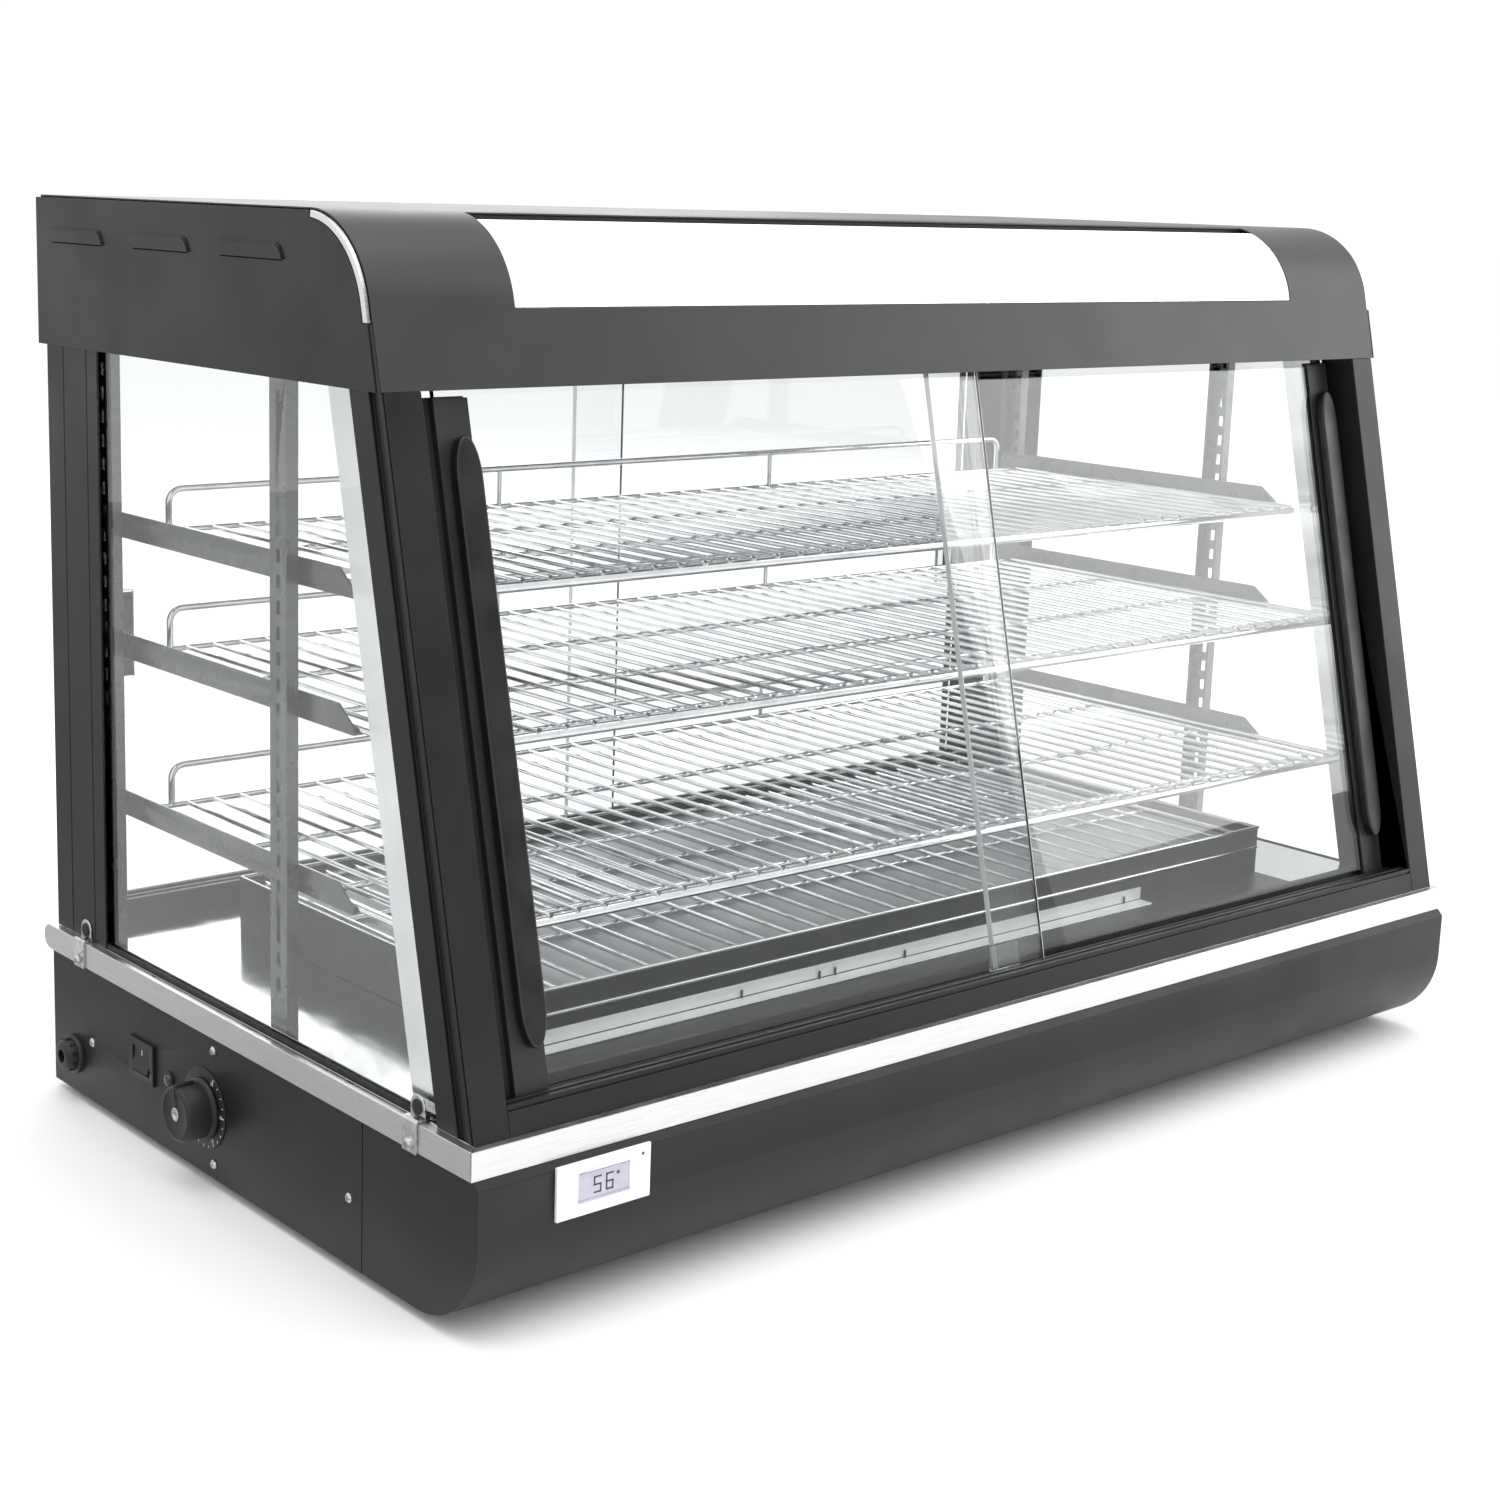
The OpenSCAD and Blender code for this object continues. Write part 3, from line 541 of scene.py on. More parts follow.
# The rounding of each part's edges, in millimetres
BEVELS = {
    "base_front_shell": 0.7,
    "base_tray": 0.5,
    "base_control_panel": 0.5,
    "belt_trim": 0.35,
    "casing_screws": 0.2,
    "switch_housing": 0.6,
    "switch_rocker": 0.5,
    "thermostat_body": 0.4,
    "thermometer_bezel": 0.7,
    "terminal_block": 0.5,
    "floor_pan": 0.8,
    "heater_box": 0.35,
    "water_pan": 0.35,
    "shelf_standards_left": 0.25,
    "shelf_standards_right": 0.25,
    "shelf_brackets_left": 0.3,
    "shelf_brackets_right": 0.3,
    "front_post_left": 0.5,
    "front_post_right": 0.5,
    "post_liners": 0.3,
    "front_bottom_track": 0.4,
    "front_top_track": 0.4,
    "door_guide": 0.5,
    "rear_post_left": 0.5,
    "rear_post_right": 0.5,
    "rear_bottom_track": 0.4,
    "rear_top_track": 0.4,
    "side_glass_left": 0.4,
    "side_glass_right": 0.4,
    "front_door_left_glass": 0.4,
    "front_door_left_stile": 0.7,
    "front_door_left_grip": 1.6,
    "front_door_right_glass": 0.4,
    "front_door_right_stile": 0.7,
    "front_door_right_grip": 1.6,
    "rear_door_left_glass": 0.4,
    "rear_door_left_grip": 1.4,
    "rear_door_right_glass": 0.4,
    "rear_door_right_grip": 1.8,
    "hood_side_left": 0.6,
    "hood_side_right": 0.6,
    "hood_arc_trims": 0.3,
    "hood_front": 0.4,
    "hood_top_cover": 0.5,
    "light_panel": 0.5,
    "ceiling_plate": 0.3,
    "lamp_holders": 1.0,
}
for made_node, width in BEVELS.items():
    dressed(made_node, width, 3 if width > 1 else 2)


# ------------------------------------------------------------------ wire shelves

SHELF_PITCH = 20
SHELF_WIRE = 3.2
SIDE_WIRE = 4.4
CROSS_WIRE = 4
RAIL_WIRE = 4.6
RAIL_HIGH = 27
STAY_WIRE = 3.6
BAR_RADIUS = 3.25


def wire_shelf(node):
    """A welded wire shelf: a frame with a guard rail, a thick front bar and the long wires."""
    low, high = bounds_of(node)
    half = high.x
    front = low.y + BAR_RADIUS
    rear = high.y - RAIL_WIRE / 2
    side_z = high.z - RAIL_WIRE / 2 - RAIL_HIGH
    top_z = side_z + 0.1
    rail_x = half - 28
    bend = 9
    bm = bmesh.new()
    for s in (-1, 1):
        side_x = s * (half - SIDE_WIRE / 2)
        rod(bm, (side_x, front, side_z), (side_x, rear, side_z), SIDE_WIRE, 14)
    rod(bm, (-half + 0.2, rear, side_z), (half - 0.2, rear, side_z), CROSS_WIRE, 14)
    under_x, under_z = half - 16, top_z - SHELF_WIRE
    for share in (0.05, 0.36, 0.68):
        y = front + (rear - front) * share
        rod(bm, (-under_x, y, under_z), (under_x, y, under_z), CROSS_WIRE, 14)
    # Guard rail along the rear edge, bent from one wire
    face = round_face(bm, (-rail_x, rear, side_z), (0, 0, 1), RAIL_WIRE, 14)
    rise = RAIL_HIGH - bend
    swept(
        bm,
        face,
        [
            (0, 0, rise),
            ((-rail_x + bend, rear, side_z + rise), (0, 1, 0), 90, 8),
            (2 * (rail_x - bend), 0, 0),
            ((rail_x - bend, rear, side_z + rise), (0, 1, 0), 90, 8),
            (0, 0, -rise),
        ],
    )
    for x in (-rail_x / 3, rail_x / 3):
        rod(bm, (x, rear, side_z), (x, rear, side_z + RAIL_HIGH), STAY_WIRE)
    body = NODES[node]["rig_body"]
    keep(node + "_rim", bm, chrome_wire, body, (node,))

    # The thick bar that the customer sees, with domed ends
    bar = bmesh.new()
    dome = [(0, 0), (0, 2), (0.5, 2.9), (1.4, BAR_RADIUS)]
    lathe(
        bar,
        dome + [(2 * half - along, radius) for along, radius in reversed(dome)],
        (-half, front, side_z - 2.6),
        (1, 0, 0),
        24,
    )
    keep(node + "_front_bar", bar, chrome_wire, body)

    # One long wire with its tip turned up over the front bar, then its copies
    wires = bmesh.new()
    count = int((half - 8) // SHELF_PITCH)
    first_x, start_y, turn_y = -count * SHELF_PITCH, rear - 0.5, front + 0.6
    face = round_face(wires, (first_x, start_y, top_z), (0, -1, 0), SHELF_WIRE, 10)
    tip = 3.4
    swept(
        wires,
        face,
        [
            (0, turn_y - start_y, 0),
            ((first_x, turn_y, top_z + tip), (1, 0, 0), -62, 4),
        ],
    )
    first = list(wires.verts) + list(wires.edges) + list(wires.faces)
    for k in range(1, 2 * count + 1):
        again = bmesh.ops.duplicate(wires, geom=first)["geom"]
        bmesh.ops.translate(
            wires,
            verts=[g for g in again if isinstance(g, bmesh.types.BMVert)],
            vec=(k * SHELF_PITCH, 0, 0),
        )
    keep(node + "_wires", wires, chrome_wire, body)


for shelf in ("shelf_top", "shelf_middle", "shelf_lower"):
    wire_shelf(shelf)


def floor_rack():
    """The low rack in the heater box: a frame of round bar with wires across it."""
    low, high = bounds_of("bottom_rack")
    half = high.x
    front, rear = low.y + 2, high.y - 2
    top = high.z - 1.5
    frame_z, stay_z = top - 3, top - 3.2
    stay_in = 97
    pitch = 24
    bm = bmesh.new()
    for x in (-half + 2, half - 2):
        rod(bm, (x, front, frame_z), (x, rear, frame_z), CROSS_WIRE, 12)
    for y in (front, rear):
        rod(bm, (-half, y, frame_z), (half, y, frame_z), CROSS_WIRE, 12)
    for y in (front + stay_in, rear - stay_in):
        rod(bm, (-half + 10, y, stay_z), (half - 10, y, stay_z), STAY_WIRE, 12)
    for i in range(-14, 15):
        rod(bm, (i * pitch, low.y, top), (i * pitch, high.y, top), 3, 10)
    body = NODES["bottom_rack"]["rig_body"]
    keep("bottom_rack_wires", bm, chrome_wire, body, ("bottom_rack",))


floor_rack()


def heating_rod():
    """A sheathed rod bent round the water pan, on clips, with its cold ends in steatite."""
    low, high = bounds_of("heating_element")
    across = 7
    bend = 18
    half = high.x - across / 2
    cold_x = -320
    y0, y1 = -120, 130
    z = high.z - 6
    bm = bmesh.new()
    face = round_face(bm, (cold_x, y0, z), (1, 0, 0), across, 16)
    swept(
        bm,
        face,
        [
            (half - bend - cold_x, 0, 0),
            ((half - bend, y0 + bend, z), (0, 0, 1), 90, 10),
            (0, y1 - y0 - 2 * bend, 0),
            ((half - bend, y1 - bend, z), (0, 0, 1), 90, 10),
            (-(half - bend) + cold_x, 0, 0),
        ],
    )
    keep("heating_rod", bm, heater_sheath, "case", ("heating_element",))
    holders = bmesh.new()
    for y in (y0, y1):
        block(holders, (cold_x - 4, y - 7, low.z), (cold_x + 4, y + 7, z + 6), 1)
        for x in (-100, 120):
            block(holders, (x - 1, y - 5, low.z), (x + 1, y + 5, z), 0.3)
    keep("heating_rod_clips", holders, zinc_steel, "case")


heating_rod()


# The heater box's front wall and the bead pressed along it
HEATER_FRONT = -146
BEAD_Z = 138.9


def heater_lines():
    """The rolled rim of the heater box and the bright bead along its front."""
    low, high = bounds_of("heater_box")
    roll = 2.6
    rim_z = high.z - 0.9
    bm = bmesh.new()
    for y in (HEATER_FRONT, high.y):
        rod(bm, (low.x + 0.4, y, rim_z), (high.x - 0.4, y, rim_z), roll, 12)
    for x in (low.x + roll / 2, high.x - roll / 2):
        rod(bm, (x, HEATER_FRONT, rim_z), (x, high.y, rim_z), roll, 12)
    bead_y = HEATER_FRONT - 1
    rod(bm, (low.x + 2, bead_y, BEAD_Z), (high.x - 2, bead_y, BEAD_Z), 2.4, 12)
    keep("heater_box_rim", bm, polished_steel, "case")


heater_lines()


def heater_details():
    """The pale sheet over the heating rod, and a white strip along the box's foot: painted light
    where light passes beneath the box.
    """
    low, high = bounds_of("heater_box")
    gap = 1.4
    sheet_z = high.z - 11.3
    sheet = bmesh.new()
    block(
        sheet,
        (low.x + gap, HEATER_FRONT + gap, sheet_z),
        (high.x - gap, high.y - gap, sheet_z + 0.5),
    )
    keep("heat_reflector", sheet, pale_sheet, "case")
    # A folded strip of painted light: its upright stands against the box, its foot lies on the
    # floor
    strip = bmesh.new()
    left, right = low.x + 4, 214
    wall_y, wall_z, foot_y, foot_z = -147.9, 129.6, -159.1, 119.9
    block(strip, (left, wall_y, foot_z), (right, wall_y + 0.4, wall_z), 0.1, 1)
    block(strip, (left, foot_y, foot_z), (right, wall_y + 0.3, foot_z + 0.4), 0.1, 1)
    keep("painted_light_strip", strip, painted_light_white, "case")
    studs = bmesh.new()
    stud_y = wall_y - 0.7
    for x in (-174, -107, -93, -29, 195):
        rod(studs, (x, stud_y, foot_z), (x, stud_y, foot_z + 5.6), 1.4, 10)
    fold_y, fold_z = wall_y - 0.1, foot_z + 0.6
    rod(studs, (left, fold_y, fold_z), (right, fold_y, fold_z), 0.9, 8)
    keep("light_strip_studs", studs, slotted_steel, "case")


heater_details()


def leaned(bm, foot_z):
    """Leans an upright piece back with the case's front, about a height."""
    for vert in bm.verts:
        vert.co.y += (vert.co.z - foot_z) * math.tan(FRONT_LEAN)


def pane_edges():
    """Ground upright edges of the sliding panes, which lean with the front doors."""
    proud, thick = 0.25, 4.0
    for node, side in (
        ("front_door_left_glass", 1),
        ("front_door_right_glass", -1),
        ("rear_door_left_glass", 1),
        ("rear_door_right_glass", -1),
    ):
        low, high = bounds_of(node)
        x = high.x if side > 0 else low.x
        front = node.startswith("front")
        bm = bmesh.new()
        across = thick / math.cos(FRONT_LEAN) if front else thick
        block(
            bm,
            (min(x, x + side * proud), low.y, low.z + 0.3),
            (max(x, x + side * proud), low.y + across, high.z - 0.3),
        )
        if front:
            leaned(bm, low.z)
        keep(node + "_edge", bm, ground_edge, NODES[node]["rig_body"])


pane_edges()


# ------------------------------------------------------------------ controls

# The control side's face, the middle of the knob on it, and the way it faces
SIDE_X = -449.0
KNOB = Vector((SIDE_X, 40, 49.5))
OUT = (-1, 0, 0)
# Below this angle the rings of a turned knob or gland look rounded into each other
TURNED_SHARP = math.radians(50)


def knob():
    """A skirted knob with a finger ridge, a white line on the ridge and a screw in its middle."""
    face = 21
    bm = bmesh.new()
    lathe(
        bm,
        [
            (1.6, 0),
            (1.6, 19),
            (2.1, 20),
            (4.0, 20),
            (4.6, 19.4),
            (5.2, 18),
            (face - 2, 17.8),
            (face - 0.8, 17.3),
            (face - 0.1, 16),
            (face, 14.6),
            (face - 0.4, 13.8),
            (face - 0.4, 5.2),
            (face - 1.2, 4.6),
            (face - 1.2, 0),
        ],
        KNOB,
        OUT,
        64,
    )
    keep(
        "knob_shell",
        bm,
        black_plastic,
        "knob",
        ("thermostat_knob",),
        sharp=TURNED_SHARP,
    )
    face_x, y, z = SIDE_X - face, KNOB.y, KNOB.z
    ridge = bmesh.new()
    block(ridge, (face_x, y - 1.4, z + 4), (face_x + 13, y + 1.4, z + 19.6), 0.6)
    keep("knob_ridge", ridge, black_plastic, "knob")
    line = bmesh.new()
    block(line, (face_x, y - 0.5, z + 9.5), (face_x + 0.4, y + 0.5, z + 18.9), 0.1, 1)
    keep("knob_line", line, white_ink, "knob")
    cap = bmesh.new()
    lathe(
        cap,
        [
            (face - 1.4, 0),
            (face - 1.4, 4.4),
            (face - 0.2, 4.4),
            (face, 4.1),
            (face, 2.9),
            (face - 0.2, 2.6),
            (face - 0.7, 2.4),
            (face - 0.7, 0),
        ],
        KNOB,
        OUT,
        32,
    )
    keep("knob_centre_screw", cap, zinc_steel, "knob")


knob()


def flat_text(words, height, at, turn):
    """Numbers as a thin raised print, in a frame given by a turn."""
    curve = bpy.data.curves.new("print", "FONT")
    curve.body = words
    curve.size = height
    curve.extrude = 0.05
    curve.align_x = "CENTER"
    curve.align_y = "CENTER"
    holder = bpy.data.objects.new("print", curve)
    bpy.context.scene.collection.objects.link(holder)
    bpy.context.view_layer.update()
    graph = bpy.context.evaluated_depsgraph_get()
    mesh = bpy.data.meshes.new_from_object(holder.evaluated_get(graph))
    bpy.data.objects.remove(holder)
    mesh.transform(Matrix.Translation(Vector(at)) @ turn)
    return mesh


def dial():
    """The printed dial: a dished black disc, a tick every 15 degrees and a few numbers."""
    plate = bmesh.new()
    lathe(
        plate,
        [(0, 0), (0, 25.6), (0.4, 26), (0.8, 25.8), (1.0, 25.2), (1.0, 0)],
        KNOB,
        OUT,
        72,
    )
    keep("dial_disc", plate, black_plastic, "case", ("dial_plate",))
    marks = bmesh.new()
    proud = -1.06
    for step in range(17):
        angle = math.radians(30 + 15 * step)
        # Every fourth tick is longer: how far out its middle is, its width and its length
        out, width, length = (24.0, 0.7, 2.4) if step % 4 == 0 else (24.4, 0.5, 1.6)
        bmesh.ops.create_cube(
            marks,
            size=1.0,
            matrix=Matrix.Translation(KNOB)
            @ Matrix.Rotation(angle, 4, "X")
            @ Matrix.Translation((proud, 0, out))
            @ Matrix.Diagonal((0.1, width, length, 1)),
        )
    # The numbers stand upright, facing out of the side
    facing = Matrix(((0, 0, -1, 0), (-1, 0, 0, 0), (0, 1, 0, 0), (0, 0, 0, 1)))
    ring, height = 21.4, 3.1
    for number, degrees in ((30, 30), (50, 90), (70, 150), (90, 210), (110, 270)):
        angle = math.radians(degrees)
        at = KNOB + Vector((proud, -ring * math.sin(angle), ring * math.cos(angle)))
        marks.from_mesh(flat_text(str(number), height, at, facing))
    keep("dial_marks", marks, white_ink, "case")


dial()


def pilot_lamp():
    """A smoked lens domed out of a thin ring."""
    at = (SIDE_X, 85, 54)
    ring = bmesh.new()
    lathe(
        ring,
        [(0, 0), (0, 5.5), (0.9, 5.5), (1.2, 5.1), (1.2, 4.2), (0.8, 4.0), (0.8, 0)],
        at,
        OUT,
        40,
    )
    keep("pilot_lamp_ring", ring, black_plastic, "case")
    lens = bmesh.new()
    lathe(lens, [(-17, 0), (-17, 4), (1.6, 4), (2.4, 3.6), (2.9, 2.4), (3.0, 0)], at, OUT, 40)
    keep("pilot_lamp_lens", lens, lamp_lens, "case", ("indicator_lamp",))


pilot_lamp()


def gland():
    """A moulded gland: a flange and a ribbed, rounded clamp ring round the cord's hole."""
    at = Vector((SIDE_X, 218, 32))
    bore, inner = 4.5, -11.5
    shank = [(inner, bore), (inner, 8), (0, 8)]
    flange = [(0, 13.4), (2.4, 13.4), (3, 12.8), (3, 10.9)]
    clamp = [(7.6, 10.6), (9.3, 9.4), (10, 7.4), (10, bore), (inner, bore)]
    bm = bmesh.new()
    lathe(bm, shank + flange + clamp, at, OUT, 48)
    keep(
        "gland_body",
        bm,
        black_plastic,
        "case",
        ("cable_gland",),
        sharp=TURNED_SHARP,
    )
    ribs = bmesh.new()
    count = 10
    for k in range(count):
        angle = math.tau * k / count
        bmesh.ops.create_cube(
            ribs,
            size=1.0,
            matrix=Matrix.Translation(at)
            @ Matrix.Rotation(angle, 4, "X")
            @ Matrix.Translation((-5.2, 0, 10.6))
            @ Matrix.Diagonal((4.2, 2.2, 1.6, 1)),
        )
    keep("gland_ribs", ribs, black_plastic, "case", bevel=0.4)


gland()


def switch_marks():
    """The bar printed on the rocker, which rides with it."""
    pivot = Matrix.Translation((SIDE_X + 3, 120, 56.5))
    rocked, slope = math.radians(9), math.radians(-7.3)
    bm = bmesh.new()
    bmesh.ops.create_cube(
        bm,
        size=1.0,
        matrix=pivot
        @ Matrix.Rotation(rocked, 4, "Y")
        @ Matrix.Translation((-4.75, 0, 4.4))
        @ Matrix.Rotation(slope, 4, "Y")
        @ Matrix.Diagonal((0.16, 0.8, 3.4, 1)),
    )
    keep("rocker_bar_mark", bm, white_ink, "rocker")


switch_marks()


def thermometer():
    """The window, raised lines, digits and sensor dot of the small thermometer."""
    low, high = bounds_of("thermometer_bezel")
    face = low.y
    window = bmesh.new()
    glass_low, glass_high = bounds_of("thermometer_display")
    block(window, glass_low, glass_high, 0.2, 1)
    keep("lcd_pane", window, display_window, "case", ("thermometer_display",))
    # Raised rim round the bezel and a step round its window
    rim = bmesh.new()
    middle = (low + high) / 2
    thick = 0.7
    for inset in (3.0, 12.5):
        x0, x1 = low.x + inset, high.x - inset
        z0, z1 = low.z + inset * 0.62, high.z - inset * 0.62
        for a, b in (
            ((x0, z0), (x1, z0 + thick)),
            ((x0, z1 - thick), (x1, z1)),
            ((x0, z0), (x0 + thick, z1)),
            ((x1 - thick, z0), (x1, z1)),
        ):
            block(rim, (a[0], face + 0.02, a[1]), (b[0], face + 0.6, b[1]))
    keep("thermometer_lines", rim, display_window, "case")
    # Seven-segment digits and a small sensor dot
    digits = bmesh.new()
    y = glass_low.y - 0.08
    wide, tall = 4.4, 9
    foot_z = middle.z - 4.6
    # Where each segment starts and ends, in shares of a digit's width and height
    segments = {
        "a": (0, 1, 1, 1),
        "b": (1, 0.5, 1, 1),
        "c": (1, 0, 1, 0.5),
        "d": (0, 0, 1, 0),
        "e": (0, 0, 0, 0.5),
        "f": (0, 0.5, 0, 1),
        "g": (0, 0.5, 1, 0.5),
    }
    for place, lit in ((-6.5, "acdfg"), (2.0, "acdefg")):
        for key in lit:
            x0, z0, x1, z1 = segments[key]
            left = middle.x + place
            start = Vector((left + x0 * wide, y, foot_z + z0 * tall))
            end = Vector((left + x1 * wide, y, foot_z + z1 * tall))
            grow = Vector((0.45, 0.08, 0.45))
            block(digits, start - grow, end + grow)
    # The degree mark after them
    mark_x, mark_z, mark = middle.x + 9.2, middle.z + 2.6, 1.8
    block(digits, (mark_x, y - 0.05, mark_z), (mark_x + mark, y + 0.1, mark_z + mark))
    keep("lcd_digits", digits, dark_ink, "case")
    dot = bmesh.new()
    dot_at = (high.x - 6, face, high.z - 5.4)
    lathe(dot, [(-0.4, 0), (-0.4, 1), (0.02, 1), (0.02, 0)], dot_at, (0, -1, 0), 20)
    keep("thermometer_dot", dot, dark_ink, "case")


thermometer()


# ------------------------------------------------------------------ clips, feet and gaskets


# Where the clips and the feet are, and how thick and wide the clips' strip is
CLIP_YS = (-190, 205)
CLIP_THICK = 1.2
CLIP_WIDE = 14
FOOT_XS = (-385, 385)
FOOT_YS = (-172, 205)


def glass_clips():
    """Spring clips bent from strip: screwed under the belt trim, hooked over it, with a round
    lobe on a rubber pad against the post."""
    skin_x = bounds_of("glass_clips")[1].x - CLIP_THICK
    post_out = bounds_of("front_post_right")[1].x
    radius = 1.6
    foot_z, bend_z, lobe_z = 97.2, 114.8, 122.1
    bend_x = skin_x - 1.0
    inner = post_out + 0.7
    metal = bmesh.new()
    pads = bmesh.new()
    for y in CLIP_YS:
        for s in (-1, 1):
            start = bmesh.ops.create_grid(
                metal,
                x_segments=1,
                y_segments=1,
                size=0.5,
                matrix=Matrix.Translation((s * (skin_x + CLIP_THICK / 2), y, foot_z))
                @ Matrix.Diagonal((CLIP_THICK, CLIP_WIDE, 1, 1)),
            )
            swept(
                metal,
                start["verts"][0].link_faces[0],
                [
                    (0, 0, bend_z - foot_z),
                    ((s * bend_x, y, bend_z), (0, 1, 0), -90 * s, 5),
                    (-s * (bend_x - (inner + radius + 0.4)), 0, 0),
                ],
            )
            # The round lobe, the tab that joins it to the strip, and the pad's face
            lathe(
                metal,
                [(0.1, 0), (0.1, 7), (0.9, 7), (1.3, 6.6), (1.3, 0)],
                (s * post_out, y, lobe_z),
                (s, 0, 0),
                32,
            )
            x0, x1 = sorted((s * (inner - 0.6), s * (inner + 0.6)))
            block(metal, (x0, y - CLIP_WIDE / 2, 115.2), (x1, y + CLIP_WIDE / 2, 122), 0.3)
            lathe(
                pads,
                [(1.25, 0), (1.25, 4.6), (2.0, 4.4), (2.2, 4), (2.2, 0)],
                (s * post_out, y, lobe_z),
                (s, 0, 0),
                28,
            )
    keep("clip_strips", metal, zinc_steel, "case", ("glass_clips",), bevel=0.25)
    keep("clip_pads", pads, rubber, "case")


glass_clips()


def feet():
    """Low rubber feet that widen towards the base."""
    bm = bmesh.new()
    profile = [(0, 0), (0, 12.4), (0.5, 13), (5.4, 14.8), (6, 15), (6, 0)]
    for x in FOOT_XS:
        for y in FOOT_YS:
            lathe(bm, profile, (x, y, 0), (0, 0, 1), 36)
    keep("feet_rubber", bm, rubber, "case", ("rubber_feet",))


feet()


def gaskets():
    """Black strips that bed the side panes, and seals in the hood's front joints."""
    bm = bmesh.new()
    glass_x = bounds_of("side_glass_right")[1].x
    for s in (-1, 1):
        x0, x1 = sorted((s * (glass_x + 0.1), s * (glass_x + 2.6)))
        block(bm, (x0, -196, 115.05), (x1, 219, 118.2), 0.4)
    keep("glazing_gaskets", bm, rubber, "case")
    # The seals lean with the front and end where it starts to roll over
    low, high = bounds_of("hood_front")
    roll_z = 544.2
    seals = bmesh.new()
    for s in (-1, 1):
        x0, x1 = sorted((s * (high.x + 0.1), s * (high.x + 1.9)))
        block(seals, (x0, low.y + 0.5, low.z + 0.1), (x1, low.y + 3.5, roll_z))
    leaned(seals, low.z)
    keep("hood_seals", seals, rubber, "case")


gaskets()


def lamp():
    """A fluorescent tube with metal end caps."""
    low, high = bounds_of("lamp_tube")
    middle = (low + high) / 2
    radius = (high.z - low.z) / 2
    start, end = 12, high.x - low.x - 12
    tube = bmesh.new()
    lathe(
        tube,
        [(start, 0), (start, radius), (end, radius), (end, 0)],
        (low.x, middle.y, middle.z),
        (1, 0, 0),
        32,
    )
    keep("lamp_glass_tube", tube, lamp_glass, "case", ("lamp_tube",))
    caps = bmesh.new()
    for x, s in ((low.x, 1), (high.x, -1)):
        lathe(
            caps,
            [(0, 0), (0, radius - 1), (1, radius), (14, radius), (14.5, radius - 0.4), (14.5, 0)],
            (x, middle.y, middle.z),
            (s, 0, 0),
            32,
        )
    keep("lamp_end_caps", caps, zinc_steel, "case")


lamp()

# Every node of the CAD part carries its slot's finish too
for node_name, node_object in NODES.items():
    for held in node_object.material_slots:
        held.material = FINISH[SLOT_OF[node_name]]


# ------------------------------------------------------------------ studio


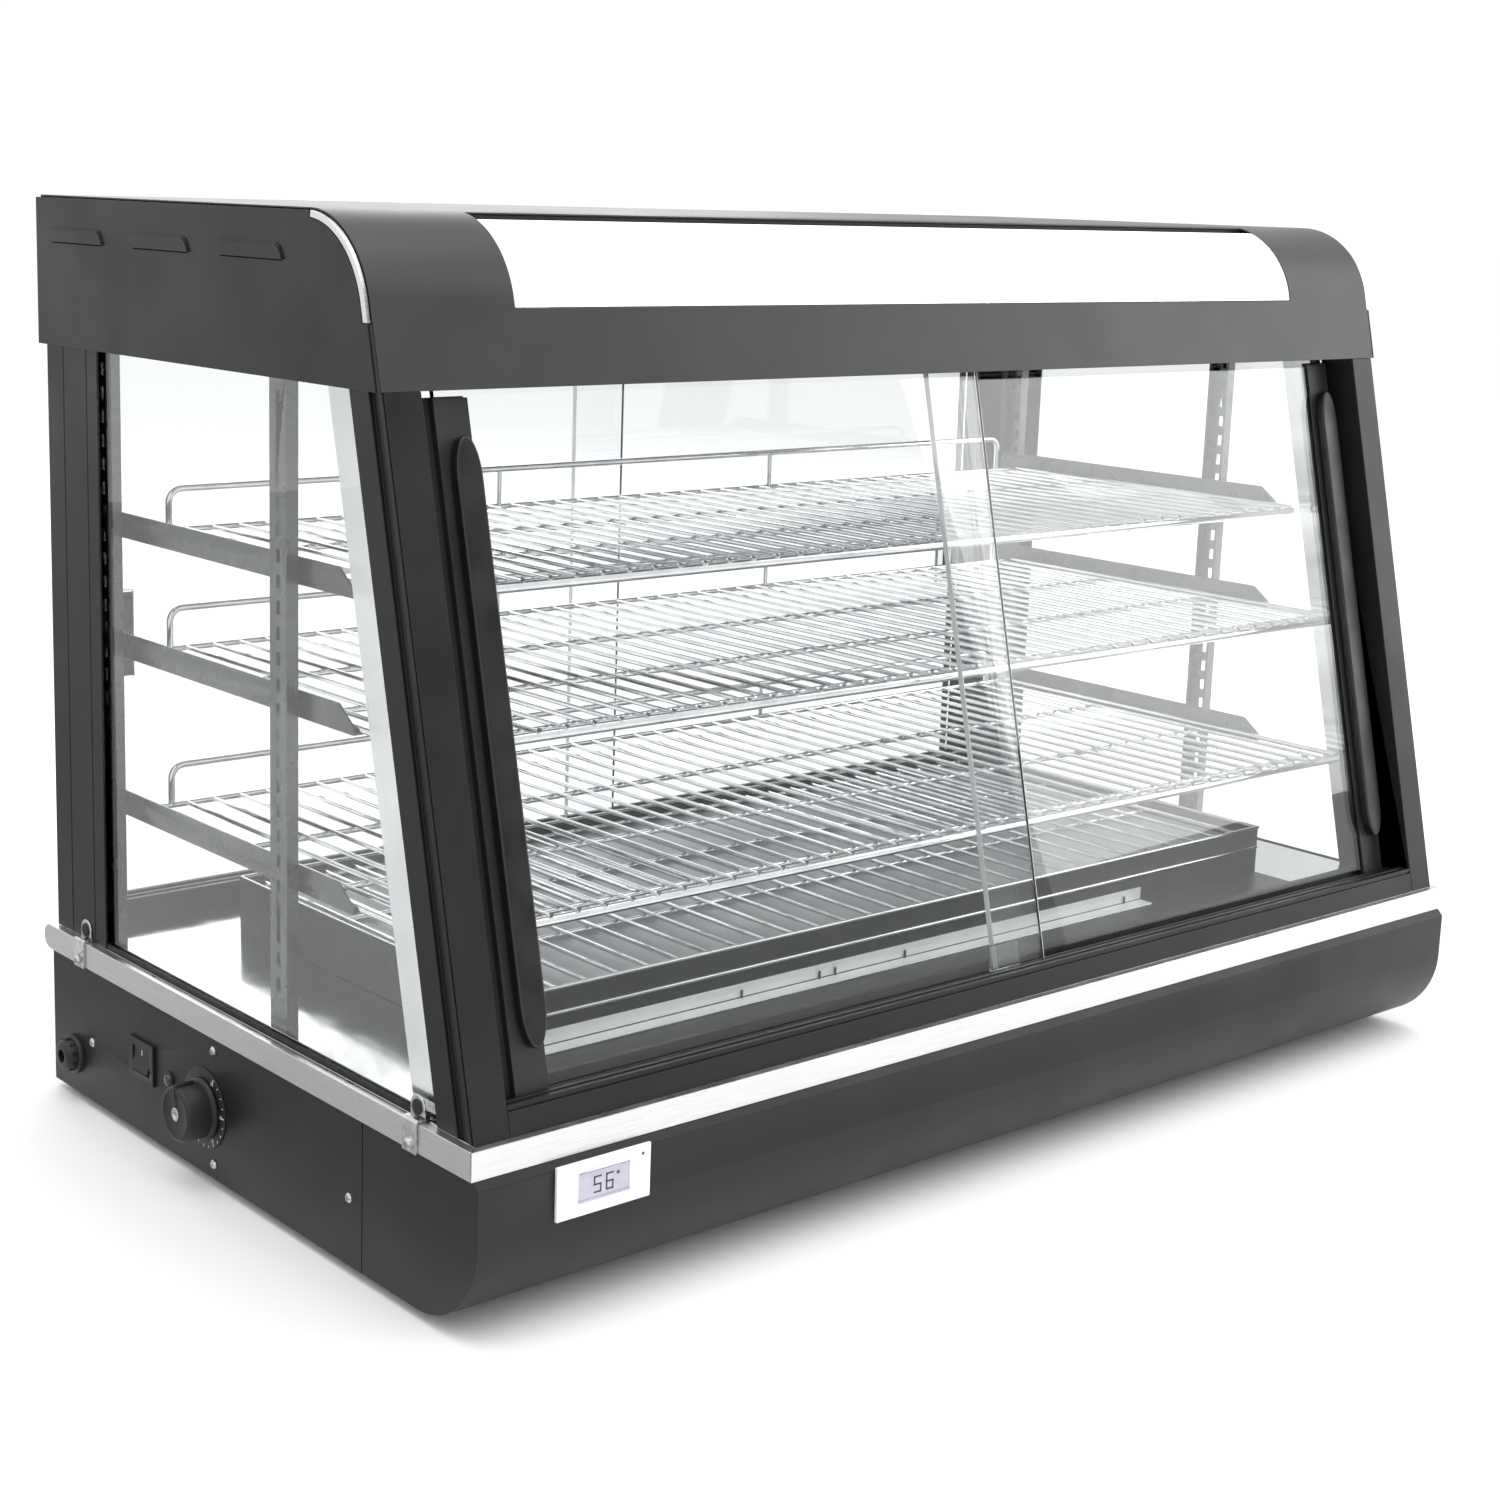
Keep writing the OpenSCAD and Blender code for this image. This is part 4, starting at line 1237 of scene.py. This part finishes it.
def studio():
    """The floor, the cards that only reflections see, the softboxes and the pale surroundings."""
    bm = bmesh.new()
    bmesh.ops.create_grid(bm, x_segments=1, y_segments=1, size=30)
    mesh = bpy.data.meshes.new("studio_floor")
    bm.to_mesh(mesh)
    bm.free()
    floor = bpy.data.objects.new("studio_floor", mesh)
    bpy.context.scene.collection.objects.link(floor)
    # Matt white laminate of the studio floor
    white = finish("white_laminate", "#fafafa", "#fbfbfb", 400, (0.75, 0.85))
    mesh.materials.append(white)
    # A flag before the left door, and one on the floor behind the left side
    dark_card = finish("grey_flag_cloth", "#646464", "#686868", 300, (0.9, 1.0))
    pale_card = finish("pale_flag_cloth", "#a0a0a0", "#a6a6a6", 300, (0.9, 1.0))
    cards = (
        # name, cloth, place, degrees about Z, degrees about X, width, height
        ("front_flag", dark_card, (1.06, -2.4, 1.2), 30, 90, 1.9, 2.3),
        ("side_flag", pale_card, (-1.75, 1.2, 0.002), 0, 0, 2.5, 3.6),
    )
    for name, card, place, turn, tilt, width, height in cards:
        bm = bmesh.new()
        bmesh.ops.create_grid(
            bm,
            x_segments=1,
            y_segments=1,
            size=0.5,
            matrix=Matrix.Translation(place)
            @ Matrix.Rotation(math.radians(turn), 4, "Z")
            @ Matrix.Rotation(math.radians(tilt), 4, "X")
            @ Matrix.Diagonal((width, height, 1, 1)),
        )
        mesh = bpy.data.meshes.new(name)
        bm.to_mesh(mesh)
        bm.free()
        mesh.materials.append(card)
        flag = bpy.data.objects.new(name, mesh)
        for ray in ("camera", "diffuse", "transmission", "volume_scatter", "shadow"):
            setattr(flag, "visible_" + ray, False)
        bpy.context.scene.collection.objects.link(flag)
    lamps = (
        # name, place, aims at, width, height, watts
        ("key_softbox", (2.62, -1.64, 1.75), (0, -0.19, 1.75), 1.5, 2.9, 34),
        ("top_softbox", (-0.4, -0.4, 3.4), (0, 0, 0), 3.4, 3.0, 60),
        ("rear_softbox", (1.6, 3.4, 2.0), (0, 0, 0.3), 2.4, 1.8, 25),
    )
    for name, place, aim, width, height, watts in lamps:
        data = bpy.data.lights.new(name, "AREA")
        data.shape = "RECTANGLE"
        data.size = width
        data.size_y = height
        data.energy = watts
        softbox = bpy.data.objects.new(name, data)
        direction = Vector(aim) - Vector(place)
        aimed = direction.to_track_quat("-Z", "Y").to_matrix().to_4x4()
        softbox.matrix_world = Matrix.Translation(place) @ aimed
        softbox.visible_camera = False
        bpy.context.scene.collection.objects.link(softbox)
    world = bpy.data.worlds.new("pale_studio")
    world.use_nodes = True
    surroundings = world.node_tree.nodes["Background"]
    surroundings.inputs["Color"].default_value = linear("#ffffff")
    surroundings.inputs["Strength"].default_value = 1.06
    bpy.context.scene.world = world


def camera():
    """Stands to the left of the front, a little above the hood."""
    yaw, pitch, roll = (math.radians(a) for a in (49.87, -11.18, 1.72))
    ahead = Vector(
        (math.cos(pitch) * math.cos(yaw), math.cos(pitch) * math.sin(yaw), math.sin(pitch))
    )
    level = Vector((math.sin(yaw), -math.cos(yaw), 0))
    over = level.cross(ahead)
    right = math.cos(roll) * level + math.sin(roll) * over
    up = math.cos(roll) * over - math.sin(roll) * level
    data = bpy.data.cameras.new("camera")
    data.sensor_width = 36
    data.lens = 58.896
    data.shift_x = 0.0507
    data.shift_y = -0.0507
    data.clip_end = 100
    made = bpy.data.objects.new("camera", data)
    turn = Matrix((right, up, -ahead)).transposed().to_4x4()
    made.matrix_world = Matrix.Translation((-1.1639, -1.2488, 0.6195)) @ turn
    bpy.context.scene.collection.objects.link(made)
    bpy.context.scene.camera = made


studio()
camera()
bpy.context.scene.view_settings.view_transform = "Standard"
